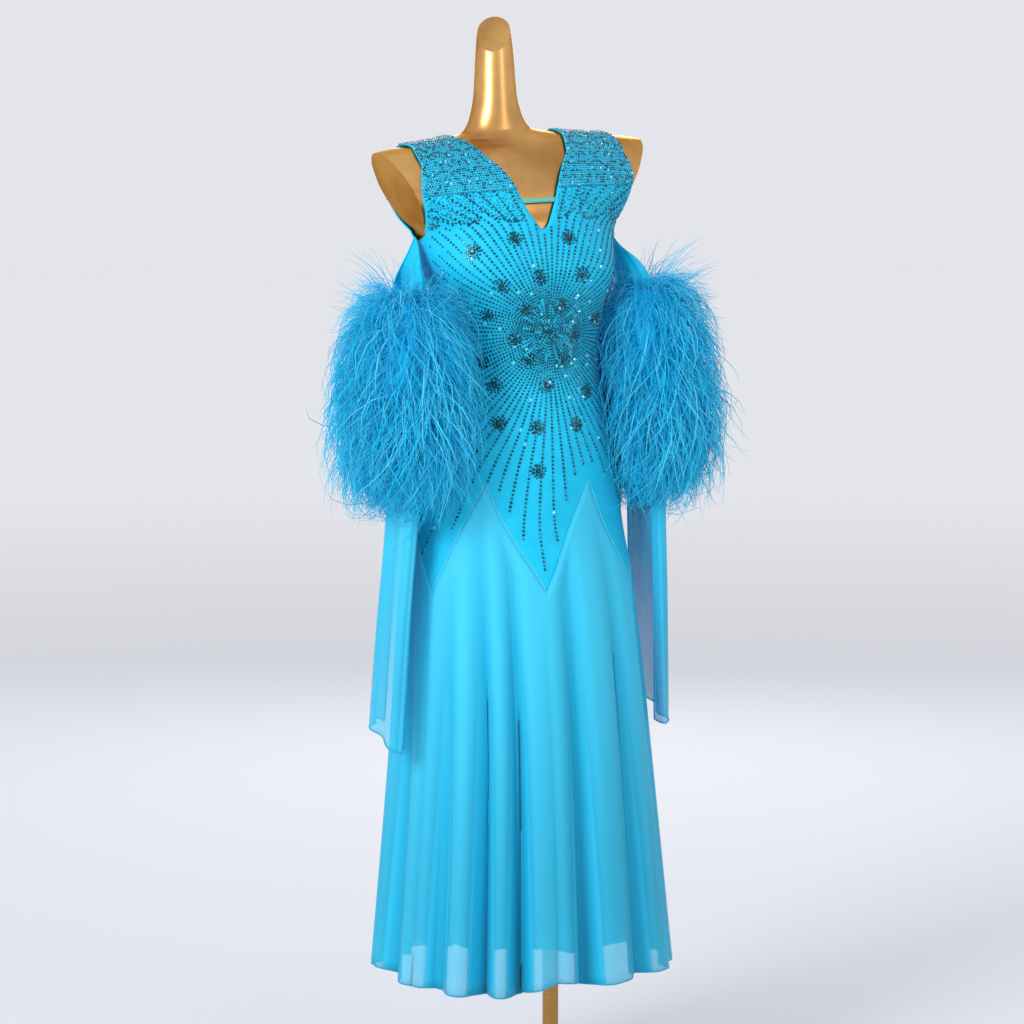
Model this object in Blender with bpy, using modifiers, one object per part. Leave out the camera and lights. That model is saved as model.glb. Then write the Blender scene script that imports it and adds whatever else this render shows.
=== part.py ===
"""Ballroom gown on a limbless dress form with a stand.

Metres, +Z up. The form faces -Y and its left side is +X. The origin is the centre of the stand's
underside, on the pole's axis. Every cloth piece is an open sheet worked out from tables of sections and
given its thickness by Solidify. Angles round the body start at the front and turn towards +X.
"""

import math
from collections import namedtuple

import bmesh
import bpy
import numpy as np
from mathutils import Matrix, Vector

# ---- Driving sizes -------------------------------------------------------------------------------
CLOTH = 0.0015  # wall of the crepe and chiffon pieces
LINING_CLOTH = 0.001
EASE = 0.005  # between the dress form and the gown
SHOULDER_EASE = 0.002
LINING_EASE = 0.0016
SEAM = 0.0004  # between two pieces that meet at a seam
STITCH_GAP = 0.0005  # between a piece and what it is sewn on
SHOULDER_SEAM = 0.004  # half the turn that the gap at a shoulder seam takes

YOKE_POINT = 0.825  # lower points of the hip yoke's zigzag
YOKE_PEAK = 0.99  # peaks of the godets
YOKE_POINTS = 6
HIP_TWIST = math.radians(-4)  # the gown sits a little turned on the hips
TWIST_FROM, TWIST_TO = 0.99, 1.25
YOKE_SEAM = 0.0018  # measured upwards, across a seam that runs steeply
UNDERARM = 1.358
NECK_POINT = 1.369  # bottom of the front neckline's V
CHEST_LINE = 1.43  # above this the panels wrap over the shoulders
LINING_TOP = 0.935
LINING_HEM = 0.284

SHOULDER_TILT = 0.07  # the right shoulder stands lower than the left
TILT_FROM, TILT_TO = 1.25, 1.48
BUST_HEIGHT, BUST_RISE = 1.305, 0.05
BUST_ANGLE, BUST_SPREAD = math.radians(38), math.radians(27)
BUST_DEPTH = 0.02

SOCKET_TOP = Vector((0.212, 0.0, 1.487))  # ends of a shoulder socket's flat face, from the form's centre
SOCKET_TIP = Vector((0.152, 0.0, 1.378))
SOCKET_RUN = 0.012  # how far the cut runs on below the tip
NECK_CUT_LOW = 1.640  # where the slanting face of the neck starts
NECK_CUT_SLOPE = math.radians(52)
NECK_CUT_TURN = math.radians(-30)

POLE_RADIUS = 0.0125
POLE_FIT = 0.0003
BASE_RADIUS = 0.17
BASE_EDGE = 0.008
FORM_BOTTOM = 0.845

Section = namedtuple("Section", "height half_width front back centre_x centre_y")

# The dress form from its lower end to the tip of the neck.
FORM_SECTIONS = (
    Section(0.845, 0.125, 0.082, 0.086, -0.060, 0.005),
    Section(0.865, 0.152, 0.102, 0.106, -0.060, 0.005),
    Section(0.930, 0.168, 0.113, 0.118, -0.060, 0.005),
    Section(1.000, 0.163, 0.112, 0.112, -0.058, 0.003),
    Section(1.080, 0.138, 0.100, 0.092, -0.052, 0.000),
    Section(1.165, 0.116, 0.089, 0.079, -0.048, 0.000),
    Section(1.240, 0.125, 0.098, 0.088, -0.053, 0.000),
    Section(1.320, 0.146, 0.108, 0.100, -0.062, 0.000),
    Section(1.375, 0.158, 0.106, 0.102, -0.065, 0.000),
    Section(1.398, 0.185, 0.103, 0.101, -0.067, 0.002),
    Section(1.427, 0.228, 0.098, 0.096, -0.068, 0.004),
    Section(1.455, 0.258, 0.088, 0.088, -0.069, 0.007),
    Section(1.479, 0.260, 0.073, 0.075, -0.070, 0.010),
    Section(1.494, 0.238, 0.058, 0.060, -0.071, 0.013),
    Section(1.504, 0.192, 0.047, 0.050, -0.073, 0.016),
    Section(1.512, 0.110, 0.041, 0.044, -0.077, 0.018),
    Section(1.524, 0.054, 0.038, 0.040, -0.083, 0.020),
    Section(1.547, 0.040, 0.036, 0.037, -0.085, 0.020),
    Section(1.580, 0.033, 0.033, 0.033, -0.086, 0.020),
    Section(1.640, 0.029, 0.029, 0.029, -0.087, 0.020),
    Section(1.680, 0.024, 0.025, 0.025, -0.088, 0.020),
    Section(1.696, 0.015, 0.016, 0.016, -0.088, 0.020),
    Section(1.700, 0.008, 0.008, 0.008, -0.088, 0.020),
)
FORM_COLUMNS = 36
FORM_ROWS = 34

# The outer skirt from its hem to the hip, before its folds are pressed in.
SKIRT_SECTIONS = (
    Section(0.200, 0.243, 0.200, 0.192, -0.048, 0.004),
    Section(0.550, 0.208, 0.172, 0.166, -0.051, 0.004),
    Section(0.834, 0.182, 0.134, 0.136, -0.057, 0.004),
)
LINING_SECTIONS = (
    Section(0.280, 0.190, 0.150, 0.146, -0.050, 0.004),
    Section(0.550, 0.181, 0.140, 0.138, -0.052, 0.004),
    Section(0.834, 0.172, 0.121, 0.124, -0.057, 0.004),
)

# The troughs between the skirt's soft pipes, round from the back: angles and widths in degrees.
Fold = namedtuple("Fold", "angle width depth start")
SKIRT_FOLDS = (
    Fold(-164, 13, 0.026, 0.88),
    Fold(-138, 12, 0.030, 0.92),
    Fold(-107, 11, 0.024, 0.84),
    Fold(-83, 12, 0.028, 0.90),
    Fold(-50, 9, 0.022, 0.78),
    Fold(-32, 8, 0.034, 0.93),
    Fold(-15, 9, 0.036, 0.90),
    Fold(23, 11, 0.034, 0.94),
    Fold(45, 10, 0.026, 0.90),
    Fold(74, 11, 0.024, 0.84),
    Fold(99, 12, 0.030, 0.90),
    Fold(136, 12, 0.026, 0.86),
    Fold(163, 11, 0.030, 0.93),
)
# How high the uneven hem hangs, at points round it.
HemPoint = namedtuple("HemPoint", "angle height")
HEM_POINTS = (
    HemPoint(-135, 0.228),
    HemPoint(-90, 0.240),
    HemPoint(-60, 0.226),
    HemPoint(-40, 0.218),
    HemPoint(-18, 0.216),
    HemPoint(-2, 0.236),
    HemPoint(14, 0.224),
    HemPoint(35, 0.228),
    HemPoint(75, 0.220),
    HemPoint(120, 0.232),
    HemPoint(165, 0.222),
)

# A sleeve band hangs flat beside the body: how far its two sides stand off the gown's centre line, and
# how far it reaches fore and aft of its middle.
Band = namedtuple("Band", "height inner outer reach middle_y")
SLEEVE_BANDS = (
    Band(0.985, 0.186, 0.222, 0.052, -0.034),
    Band(1.100, 0.184, 0.222, 0.056, -0.034),
    Band(1.240, 0.176, 0.216, 0.056, -0.027),
    Band(1.280, 0.171, 0.206, 0.048, -0.021),
    Band(1.318, 0.169, 0.190, 0.032, -0.014),
    Band(1.358, 0.1674, 0.1726, 0.011, -0.008),
)
SLEEVE_RIM_LOW = 1.279  # the outer side of the slanting armhole
SLEEVE_HANGS_FROM = 1.26  # above this the sleeve leans with the body
LEFT_LIFT = 0.016  # the left cuff and its float hang higher than the right
LIFT_FROM = 1.30  # the lift dies away from here up to the underarm

# The reach of the ostrich feathers round the middle of a sleeve band.
Reach = namedtuple("Reach", "height across along")
FEATHER_REACH = (
    Reach(0.955, 0.050, 0.078),
    Reach(0.985, 0.084, 0.108),
    Reach(1.050, 0.106, 0.132),
    Reach(1.130, 0.112, 0.142),
    Reach(1.210, 0.104, 0.134),
    Reach(1.255, 0.082, 0.110),
    Reach(1.277, 0.052, 0.086),
)
FEATHER_MIDDLE = 0.206
FEATHER_MIDDLE_Y = -0.034
FEATHER_CLEAR = 0.012  # between the feathers and the bodice
FEATHER_BORE = 0.0050  # off the sheet that the feathers are sewn round

# A float hangs as an open fold of chiffon: its middle off the gown's centre line, and its half sizes.
Float = namedtuple("Float", "height middle across along")
FLOAT_SECTIONS = (
    Float(0.585, 0.234, 0.0150, 0.058),
    Float(0.800, 0.219, 0.0150, 0.053),
    Float(0.930, 0.208, 0.0165, 0.051),
    Float(0.9846, 0.204, 0.0180, 0.052),
)
FLOAT_MIDDLE_Y = -0.034
FLOAT_OPENING = math.radians(50)  # half of the gap that the fold leaves towards the body
FLOAT_FRONT_HEM, FLOAT_BACK_HEM = 0.585, 0.625
LEFT_FLOAT_DRIFT = (-0.014, 0.028)  # how far inward and back the left float's hem hangs

# Front neckline and armhole, measured across from the centre line.
NECK_AT_CHEST, NECK_AT_SHOULDER = 0.034, 0.091
NECK_CURVE = 0.65  # below 1, the V's sides bow outwards
BACK_NECK_AT_CHEST, BACK_NECK_AT_SHOULDER = 0.074, 0.091
ARMHOLE_AT_CHEST, ARMHOLE_AT_SHOULDER = 0.172, 0.163
ARMHOLE_SCOOP = 0.96  # share of the body's width that the panels reach just above the underarm

BODICE_COLUMNS = 9  # in each half, so that the yoke's points and peaks fall on columns
YOKE_ROWS = 13
BACK_POINT_ROW = 11  # the row on which the back neckline's V starts
BACK_POINT = YOKE_POINT + (UNDERARM - YOKE_POINT) * BACK_POINT_ROW / YOKE_ROWS
SHOULDER_ROWS = 6
GORE_COLUMNS = 12
GORE_ROWS = 7
LINING_GORES = 4
LINING_COLUMNS = 9
LINING_ROWS = 5
SLEEVE_COLUMNS = 16
SLEEVE_ROWS = 6
FLOAT_COLUMNS = 12
FLOAT_ROWS = 6
FEATHER_ROWS = 9

LACE = 0.0010  # thickness of the stoned lace
SCALLOP = 0.0035
SCALLOPS = 5
ELASTIC = 0.0009
ELASTIC_HEIGHT = 1.413
ELASTIC_WIDTH = 0.007
ELASTIC_COLUMNS = 4

# ---- Materials: colour (linear), roughness, metallic ---------------------------------------------
Finish = namedtuple("Finish", "colour roughness metallic")
FINISHES = {
    "crepe": Finish((0.0, 0.448, 0.716), 0.55, 0.0),
    "chiffon": Finish((0.03, 0.456, 0.73), 0.65, 0.0),
    "lining": Finish((0.0, 0.376, 0.68), 0.6, 0.0),
    "stoned_lace": Finish((0.0, 0.37, 0.52), 0.3, 0.0),
    "feather": Finish((0.0, 0.38, 0.70), 0.8, 0.0),
    "elastic": Finish((0.14, 0.55, 0.48), 0.6, 0.0),
    "gold": Finish((0.60, 0.36, 0.13), 0.22, 1.0),
    "brass": Finish((0.55, 0.36, 0.16), 0.3, 1.0),
}


# ---- Curves through tables -----------------------------------------------------------------------
def monotone_cubic(knots, values, at):
    """A smooth curve through a table's rows that never swings past them."""
    step = np.diff(knots)
    slope = np.diff(values) / step
    tangent = np.zeros(len(knots))
    same_way = slope[:-1] * slope[1:] > 0
    before, after = slope[:-1][same_way], slope[1:][same_way]
    tangent[1:-1][same_way] = 2 * before * after / (before + after)
    tangent[0], tangent[-1] = slope[0], slope[-1]
    k = np.clip(np.searchsorted(knots, at) - 1, 0, len(step) - 1)
    t = (at - knots[k]) / step[k]
    return (
        values[k] * (1 + 2 * t) * (1 - t) ** 2
        + values[k + 1] * t * t * (3 - 2 * t)
        + step[k] * t * (1 - t) * (tangent[k] * (1 - t) - tangent[k + 1] * t)
    )


class Table:
    """A table of named rows, read at any value of its first column."""

    def __init__(self, rows):
        self.row = type(rows[0])
        values = np.array(rows, float)
        self.knots = np.linspace(values[0, 0], values[-1, 0], 1500)
        self.columns = [
            monotone_cubic(values[:, 0], values[:, c], self.knots) for c in range(1, values.shape[1])
        ]

    def at(self, knot):
        return self.row(knot, *(float(np.interp(knot, self.knots, column)) for column in self.columns))


def above(sections, height):
    return tuple(section for section in sections if section.height >= height)


FORM = Table(FORM_SECTIONS)
GOWN = Table(SKIRT_SECTIONS + above(FORM_SECTIONS, 0.93))
LINING = Table(LINING_SECTIONS + above(FORM_SECTIONS, 0.93))
SLEEVE = Table(SLEEVE_BANDS)
FEATHERS = Table(FEATHER_REACH)
FLOAT = Table(FLOAT_SECTIONS)


def ramp(value, start, end):
    """0 before start, 1 after end, smooth between."""
    t = min(1.0, max(0.0, (value - start) / (end - start)))
    return t * t * (3 - 2 * t)


def turned(angle):
    """The same angle, from minus to plus half a turn."""
    return (angle + math.pi) % (2 * math.pi) - math.pi


# ---- The figure ----------------------------------------------------------------------------------
def bust(angle, height):
    """How far the two cups swell out of the section."""
    rise = math.exp(-(((height - BUST_HEIGHT) / BUST_RISE) ** 2))
    return BUST_DEPTH * rise * sum(
        math.exp(-((turned(angle - side * BUST_ANGLE) / BUST_SPREAD) ** 2)) for side in (-1, 1)
    )


def figure(table, angle, height, pressed=0.0):
    """A point of a table's sections, pressed in towards the middle by an amount."""
    section = table.at(height)
    depth = section.front if math.cos(angle) > 0 else section.back
    swell = bust(angle, height) - pressed
    x = (section.half_width + swell) * math.sin(angle)
    y = -(depth + swell) * math.cos(angle)
    lift = SHOULDER_TILT * x * ramp(height, TILT_FROM, TILT_TO)
    return Vector((section.centre_x + x, section.centre_y + y, height + lift))


def off_surface(surface, u, v, distance):
    """The point of surface(u, v), moved out by a distance along the surface's normal."""
    step = 1e-4
    along_u = surface(u + step, v) - surface(u - step, v)
    along_v = surface(u, v + step) - surface(u, v - step)
    return surface(u, v) + along_u.cross(along_v).normalized() * distance


def shoulder_height(x):
    """The height at which the shoulder's top line crosses x from the centre."""
    crest = GOWN.knots > SOCKET_TOP.z
    half_width = GOWN.columns[0][crest]
    return float(np.interp(-abs(x), -half_width, GOWN.knots[crest]))


def over_shoulder(x, turn):
    """A point above the chest line. turn is 0 in front, a quarter turn on top and half a turn behind."""
    in_front = turn < math.pi / 2
    lift = turn if in_front else math.pi - turn
    low, high = CHEST_LINE, shoulder_height(x)
    for _ in range(30):
        height = (low + high) / 2
        section = GOWN.at(height)
        depth = section.front if in_front else section.back
        reach = depth * math.sqrt(max(0.0, 1 - (x / section.half_width) ** 2))
        if (height - CHEST_LINE) * math.cos(lift) < reach * math.sin(lift):
            low = height
        else:
            high = height
    angle = math.asin(max(-1.0, min(1.0, x / section.half_width)))
    return figure(GOWN, angle if in_front else math.pi - angle, height)


# ---- The gown's lines ----------------------------------------------------------------------------
def yoke_line(angle):
    """Height of the zigzag seam between the hip yoke and the skirt."""
    period = 2 * math.pi / YOKE_POINTS
    towards_point = abs((angle / period) % 1 - 0.5) * 2
    return YOKE_PEAK + (YOKE_POINT - YOKE_PEAK) * towards_point


def hem_line(angle):
    """Height of the uneven hem."""
    ring = sorted(HEM_POINTS)
    before = HemPoint(ring[-1].angle - 360, ring[-1].height)
    after = HemPoint(ring[0].angle + 360, ring[0].height)
    around = [before, *ring, after]
    degrees = (math.degrees(angle) - around[0].angle) % 360 + around[0].angle
    knots = np.array([point.angle for point in around], float)
    heights = np.array([point.height for point in around])
    k = int(np.clip(np.searchsorted(knots, degrees) - 1, 0, len(knots) - 2))
    return heights[k] + (heights[k + 1] - heights[k]) * ramp(degrees, knots[k], knots[k + 1])


def fold_depth(angle, height):
    """How far the skirt is pressed in by its troughs."""
    depth = 0.0
    for fold in SKIRT_FOLDS:
        away = abs(math.degrees(turned(angle - math.radians(fold.angle)))) / fold.width
        if away < 1 and height < fold.start:
            share = (fold.start - height) / (fold.start - SKIRT_SECTIONS[0].height)
            depth += fold.depth * share * (0.5 + 0.5 * math.cos(math.pi * away))
    return depth


def twist(height):
    return HIP_TWIST * (1 - ramp(height, TWIST_FROM, TWIST_TO))


def skirt_surface(angle, height):
    angle += twist(height)
    return figure(GOWN, angle, height, fold_depth(angle, height))


def lining_surface(angle, height):
    return figure(LINING, angle, height)


def body_surface(angle, height):
    return figure(GOWN, angle + twist(height), height)


# ---- Meshes --------------------------------------------------------------------------------------
def finish_material(name):
    material = bpy.data.materials.get(name) or bpy.data.materials.new(name)
    material.use_nodes = True
    finish = FINISHES[name]
    shader = material.node_tree.nodes["Principled BSDF"]
    shader.inputs["Base Color"].default_value = (*finish.colour, 1.0)
    shader.inputs["Roughness"].default_value = finish.roughness
    shader.inputs["Metallic"].default_value = finish.metallic
    return material


def add_object(name, mesh, finish):
    obj = bpy.data.objects.new(name, mesh)
    bpy.data.collections["Ballroom gown"].objects.link(obj)
    mesh.materials.append(finish_material(finish))
    mesh.shade_smooth()
    mesh.set_sharp_from_angle(angle=math.radians(35))
    return obj


def add_faces(bm, rows, ring=False):
    """Quads between rows of points. A ring joins each row's last point to its first."""
    corners = [[bm.verts.new(point) for point in row] for row in rows]
    for lower, upper in zip(corners, corners[1:]):
        last = len(lower) if ring else len(lower) - 1
        for i in range(last):
            j = (i + 1) % len(lower)
            bm.faces.new((lower[i], lower[j], upper[j], upper[i]))
    return corners


def mesh_of(bm, name):
    mesh = bpy.data.meshes.new(name)
    bm.to_mesh(mesh)
    bm.free()
    return mesh


def cloth(name, grids, thickness, finish, ring=False):
    """A cloth piece from one or more grids of points that share an edge, thickened outwards."""
    bm = bmesh.new()
    for rows in grids:
        add_faces(bm, rows, ring)
    bmesh.ops.remove_doubles(bm, verts=bm.verts, dist=1e-5)
    obj = add_object(name, mesh_of(bm, name), finish)
    wall = obj.modifiers.new("Cloth thickness", "SOLIDIFY")
    wall.thickness = thickness
    wall.offset = 1.0
    wall.use_quality_normals = True
    return obj


def turned_solid(name, profile, finish, steps=32):
    """A solid turned about the pole's axis. The profile runs down its outer side."""
    bm = bmesh.new()
    points = [bm.verts.new((radius, 0.0, height)) for radius, height in profile]
    for first, second in zip(points, points[1:]):
        bm.edges.new((first, second))
    obj = add_object(name, mesh_of(bm, name), finish)
    turn = obj.modifiers.new("Turn", "SCREW")
    turn.steps = turn.render_steps = steps
    turn.use_merge_vertices = True
    turn.merge_threshold = 1e-5
    return obj


# ---- Dress form and stand ------------------------------------------------------------------------
def add_cutter(name, matrix, size):
    bm = bmesh.new()
    bmesh.ops.create_cube(bm, size=1.0, matrix=matrix @ Matrix.Diagonal((*size, 1.0)))
    cutter = bpy.data.objects.new(name, mesh_of(bm, name))
    bpy.data.collections["Cutters"].objects.link(cutter)
    cutter.hide_render = True
    cutter.display_type = "WIRE"
    return cutter


def socket_cutter(side):
    """A block whose inner face is the flat oval of a shoulder socket."""
    centre = FORM.at((SOCKET_TOP.z + SOCKET_TIP.z) / 2)
    rise = SHOULDER_TILT * side * SOCKET_TIP.x
    top = Vector((centre.centre_x + side * SOCKET_TOP.x, 0.0, SOCKET_TOP.z + rise))
    tip = Vector((centre.centre_x + side * SOCKET_TIP.x, 0.0, SOCKET_TIP.z + rise))
    up = (top - tip).normalized()
    out = Vector((side * up.z, 0.0, -side * up.x))
    length, depth, width = (top - tip).length * 1.5, 0.2, 0.4
    middle = tip + up * (length / 2 - SOCKET_RUN) + out * (depth / 2)
    axes = Matrix((out, up.cross(out), up)).transposed().to_4x4()
    name = f"cut_socket_{'left' if side > 0 else 'right'}"
    return add_cutter(name, Matrix.Translation(middle) @ axes, (depth, width, length))


def neck_cutter():
    """A block that leaves the slanting oval face at the top of the neck."""
    size = 0.3
    section = FORM.at(NECK_CUT_LOW)
    turn = Matrix.Rotation(NECK_CUT_TURN, 4, "Z")
    start = Vector((section.centre_x, section.centre_y, NECK_CUT_LOW))
    start += turn @ Vector((0.0, -section.front, 0.0))
    lean = turn @ Matrix.Rotation(NECK_CUT_SLOPE, 4, "X")
    raised = Matrix.Translation((0.0, 0.0, size / 2))
    return add_cutter("cut_neck", Matrix.Translation(start) @ lean @ raised, (size,) * 3)


def form_torso():
    """Moulded torso with flat shoulder sockets and a slender neck cut off at a slant."""
    share = np.linspace(0, 1, FORM_ROWS + 1)
    lengths = np.cumsum([0.0] + [
        math.hypot(b.height - a.height, b.half_width - a.half_width) for a, b in zip(FORM_SECTIONS, FORM_SECTIONS[1:])
    ])
    heights = np.interp(share * lengths[-1], lengths, [section.height for section in FORM_SECTIONS])
    turns = [2 * math.pi * i / FORM_COLUMNS for i in range(FORM_COLUMNS)]
    bm = bmesh.new()
    rings = add_faces(bm, [[figure(FORM, turn, height) for turn in turns] for height in heights], ring=True)
    bm.faces.new(reversed(rings[0]))
    bm.faces.new(rings[-1])
    obj = add_object("form_torso", mesh_of(bm, "form_torso"), "gold")
    for cutter in (socket_cutter(-1), socket_cutter(1), neck_cutter()):
        cut = obj.modifiers.new(cutter.name, "BOOLEAN")
        cut.object = cutter
    return obj


def stand():
    """Round base with a hub, the pole, and the collar that carries the torso."""
    bore = POLE_RADIUS + POLE_FIT
    hub_top, hub_floor, hub_radius = 0.052, 0.006, 0.024
    turned_solid(
        "stand_base",
        (
            (0.0, hub_floor),
            (bore, hub_floor),
            (bore, hub_top),
            (hub_radius - 0.003, hub_top),
            (hub_radius, hub_top - 0.003),
            (hub_radius, 0.018),
            (hub_radius + 0.008, 0.0135),
            (BASE_RADIUS - 0.004, BASE_EDGE),
            (BASE_RADIUS, BASE_EDGE - 0.003),
            (BASE_RADIUS, 0.0),
            (0.0, 0.0),
        ),
        "brass",
        steps=48,
    )
    collar_foot, collar_top = 0.800, FORM_BOTTOM - SEAM
    turned_solid(
        "stand_collar",
        (
            (bore, collar_top),
            (0.034, collar_top),
            (0.034, collar_top - 0.006),
            (0.020, collar_top - 0.010),
            (0.020, collar_foot),
            (bore, collar_foot),
            (bore, collar_top),
        ),
        "brass",
    )
    pole_foot, pole_top = hub_floor + POLE_FIT, collar_top - POLE_FIT
    turned_solid(
        "stand_pole",
        ((0.0, pole_top), (POLE_RADIUS, pole_top), (POLE_RADIUS, pole_foot), (0.0, pole_foot)),
        "brass",
        steps=24,
    )


# ---- Bodice --------------------------------------------------------------------------------------
SHARES = [i / BODICE_COLUMNS for i in range(BODICE_COLUMNS + 1)]


def neckline(height, behind):
    """Half the opening of a neckline, from its point up to the chest line."""
    point, at_chest, curve = (
        (BACK_POINT, BACK_NECK_AT_CHEST, 1.0) if behind else (NECK_POINT, NECK_AT_CHEST, NECK_CURVE)
    )
    return at_chest * max(0.0, (height - point) / (CHEST_LINE - point)) ** curve


def armhole(height):
    """How far out the panels reach between the underarm and the chest line."""
    side = GOWN.at(UNDERARM).half_width * ARMHOLE_SCOOP
    return side + (ARMHOLE_AT_CHEST - side) * (height - UNDERARM) / (CHEST_LINE - UNDERARM)


def torso_rows(side, behind):
    """Rows of points of half a panel, from the yoke's zigzag up to the underarm."""
    side_seam = math.pi / 2 - SEAM / 2 / GOWN.at(UNDERARM).front
    rows = []
    for height in np.linspace(YOKE_POINT, UNDERARM, YOKE_ROWS + 1):
        climb = (height - YOKE_POINT) / (UNDERARM - YOKE_POINT)
        opening = math.asin(neckline(height, behind) / GOWN.at(height).half_width)
        row = []
        for share in SHARES:
            angle = opening + (side_seam - opening) * share
            facing = math.pi - angle if behind else angle
            level = yoke_line(share * math.pi / 2) * (1 - climb) + UNDERARM * climb
            row.append(off_surface(body_surface, side * facing, level, EASE))
        rows.append(row)
    return rows


def chest_rows(side, behind):
    """Rows of points of half a panel, between the underarm and the chest line."""
    rows = []
    for height in (NECK_POINT, (NECK_POINT + CHEST_LINE) / 2):
        half_width = GOWN.at(height).half_width
        inner, outer = neckline(height, behind), armhole(height)
        low, high = math.asin(inner / half_width), math.asin(outer / half_width)
        evenly = (height - UNDERARM) / (CHEST_LINE - UNDERARM)
        row = []
        for share in SHARES:
            round_body = half_width * math.sin(low + (high - low) * share)
            across = round_body * (1 - evenly) + (inner + (outer - inner) * share) * evenly
            angle = math.asin(across / half_width)
            row.append(off_surface(body_surface, side * (math.pi - angle if behind else angle), height, EASE))
        rows.append(row)
    return rows


def shoulder_row(side, turn, off_gown=0.0, scallop=0.0):
    """A row of points across a shoulder at one turn."""
    at_chest, at_shoulder = (
        (NECK_AT_CHEST, NECK_AT_SHOULDER) if turn < math.pi / 2 else (BACK_NECK_AT_CHEST, BACK_NECK_AT_SHOULDER)
    )
    up = math.sin(turn)
    wave = scallop * abs(math.sin(SCALLOPS * turn))
    inner = at_chest + (at_shoulder - at_chest) * up - wave
    outer = ARMHOLE_AT_CHEST + (ARMHOLE_AT_SHOULDER - ARMHOLE_AT_CHEST) * up + wave
    distance = off_gown + EASE + (SHOULDER_EASE - EASE) * up
    across = [side * (inner + (outer - inner) * share) for share in SHARES]
    return [off_surface(over_shoulder, x, turn, distance) for x in across]


def shoulder_turns(seam):
    """The turns of the rows from the chest line to the shoulder seam."""
    return [seam * k / SHOULDER_ROWS for k in range(SHOULDER_ROWS + 1)]


def facing_out(rows, middle):
    """The rows, with each turned round if their faces would point at the middle."""
    first, second, above_first = rows[0][0], rows[0][1], rows[1][0]
    normal = (second - first).cross(above_first - first)
    away = first.xy - middle.xy
    return rows if normal.xy.dot(away) > 0 else [row[::-1] for row in rows]


def body_middle(height):
    section = GOWN.at(height)
    return Vector((section.centre_x, section.centre_y, height))


def panel(name, behind):
    """The whole front or back, from the yoke's zigzag to the shoulder seams, in one piece."""
    seam = math.pi / 2 - SHOULDER_SEAM
    halves = []
    for side in (-1, 1):
        turns = [math.pi - turn if behind else turn for turn in shoulder_turns(seam)]
        rows = torso_rows(side, behind) + chest_rows(side, behind)
        rows += [shoulder_row(side, turn) for turn in turns]
        halves.append(facing_out(rows, body_middle(YOKE_POINT)))
    cloth(name, halves, CLOTH, "crepe")


def strap(name, side):
    """Stoned lace with scalloped edges, from the chest line over the shoulder to the back."""
    to_top = shoulder_turns(math.pi / 2)
    turns = to_top + [math.pi - turn for turn in reversed(to_top[:-1])]
    rows = [shoulder_row(side, turn, CLOTH + STITCH_GAP, SCALLOP) for turn in turns]
    cloth(name, [facing_out(rows, body_middle(CHEST_LINE))], LACE, "stoned_lace")


def neck_bar():
    """Elastic across the V of the front neckline."""
    rows = []
    for height in (ELASTIC_HEIGHT - ELASTIC_WIDTH / 2, ELASTIC_HEIGHT + ELASTIC_WIDTH / 2):
        reach = neckline(height, False) - 3 * SEAM
        half_width = GOWN.at(height).half_width
        angles = [
            math.asin(reach * (2 * i / ELASTIC_COLUMNS - 1) / half_width) for i in range(ELASTIC_COLUMNS + 1)
        ]
        rows.append([off_surface(body_surface, angle, height, EASE) for angle in angles])
    cloth("neck_bar", [facing_out(rows, body_middle(ELASTIC_HEIGHT))], ELASTIC, "elastic")


# ---- Skirt ---------------------------------------------------------------------------------------
def gore_angles(number, gores, columns):
    """The angles of a gore's columns, leaving the seam's gap at both edges."""
    width = 2 * math.pi / gores
    gap = SEAM / 2 / SKIRT_SECTIONS[-1].front
    return np.linspace(number * width + gap, (number + 1) * width - gap, columns + 1)


def skirt_gore(number):
    """A godet of the outer skirt: pointed at the top, with its share of the folds and the hem."""
    angles = gore_angles(number, YOKE_POINTS, GORE_COLUMNS)
    rows = []
    for climb in np.linspace(0, 1, GORE_ROWS + 1):
        heights = [hem_line(angle) * (1 - climb) + (yoke_line(angle) - YOKE_SEAM) * climb for angle in angles]
        rows.append([off_surface(skirt_surface, angle, h, EASE) for angle, h in zip(angles, heights)])
    top = rows[-1]
    for i in range(1, GORE_COLUMNS, 2):  # straight between the yoke's own columns
        top[i] = (top[i - 1] + top[i + 1]) / 2
    cloth(f"skirt_gore_{number + 1}", [facing_out(rows, body_middle(YOKE_POINT))], CLOTH, "chiffon")


def lining_gore(number):
    """A gore of the opaque skirt under the chiffon."""
    angles = gore_angles(number, LINING_GORES, LINING_COLUMNS)
    heights = np.linspace(LINING_HEM, LINING_TOP, LINING_ROWS + 1)
    rows = [[off_surface(lining_surface, angle, height, LINING_EASE) for angle in angles] for height in heights]
    cloth(f"lining_gore_{number + 1}", [facing_out(rows, body_middle(YOKE_POINT))], LINING_CLOTH, "lining")


# ---- Sleeves, feathers and floats ----------------------------------------------------------------
def arm_middle(height):
    """The gown's centre line beside which the sleeves hang."""
    return GOWN.at(max(height, SLEEVE_HANGS_FROM)).centre_x


def lifted(side, height):
    """A height on a sleeve, raised where it hangs on the left."""
    return height + (LEFT_LIFT * (1 - ramp(height, LIFT_FROM, UNDERARM)) if side > 0 else 0.0)


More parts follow.
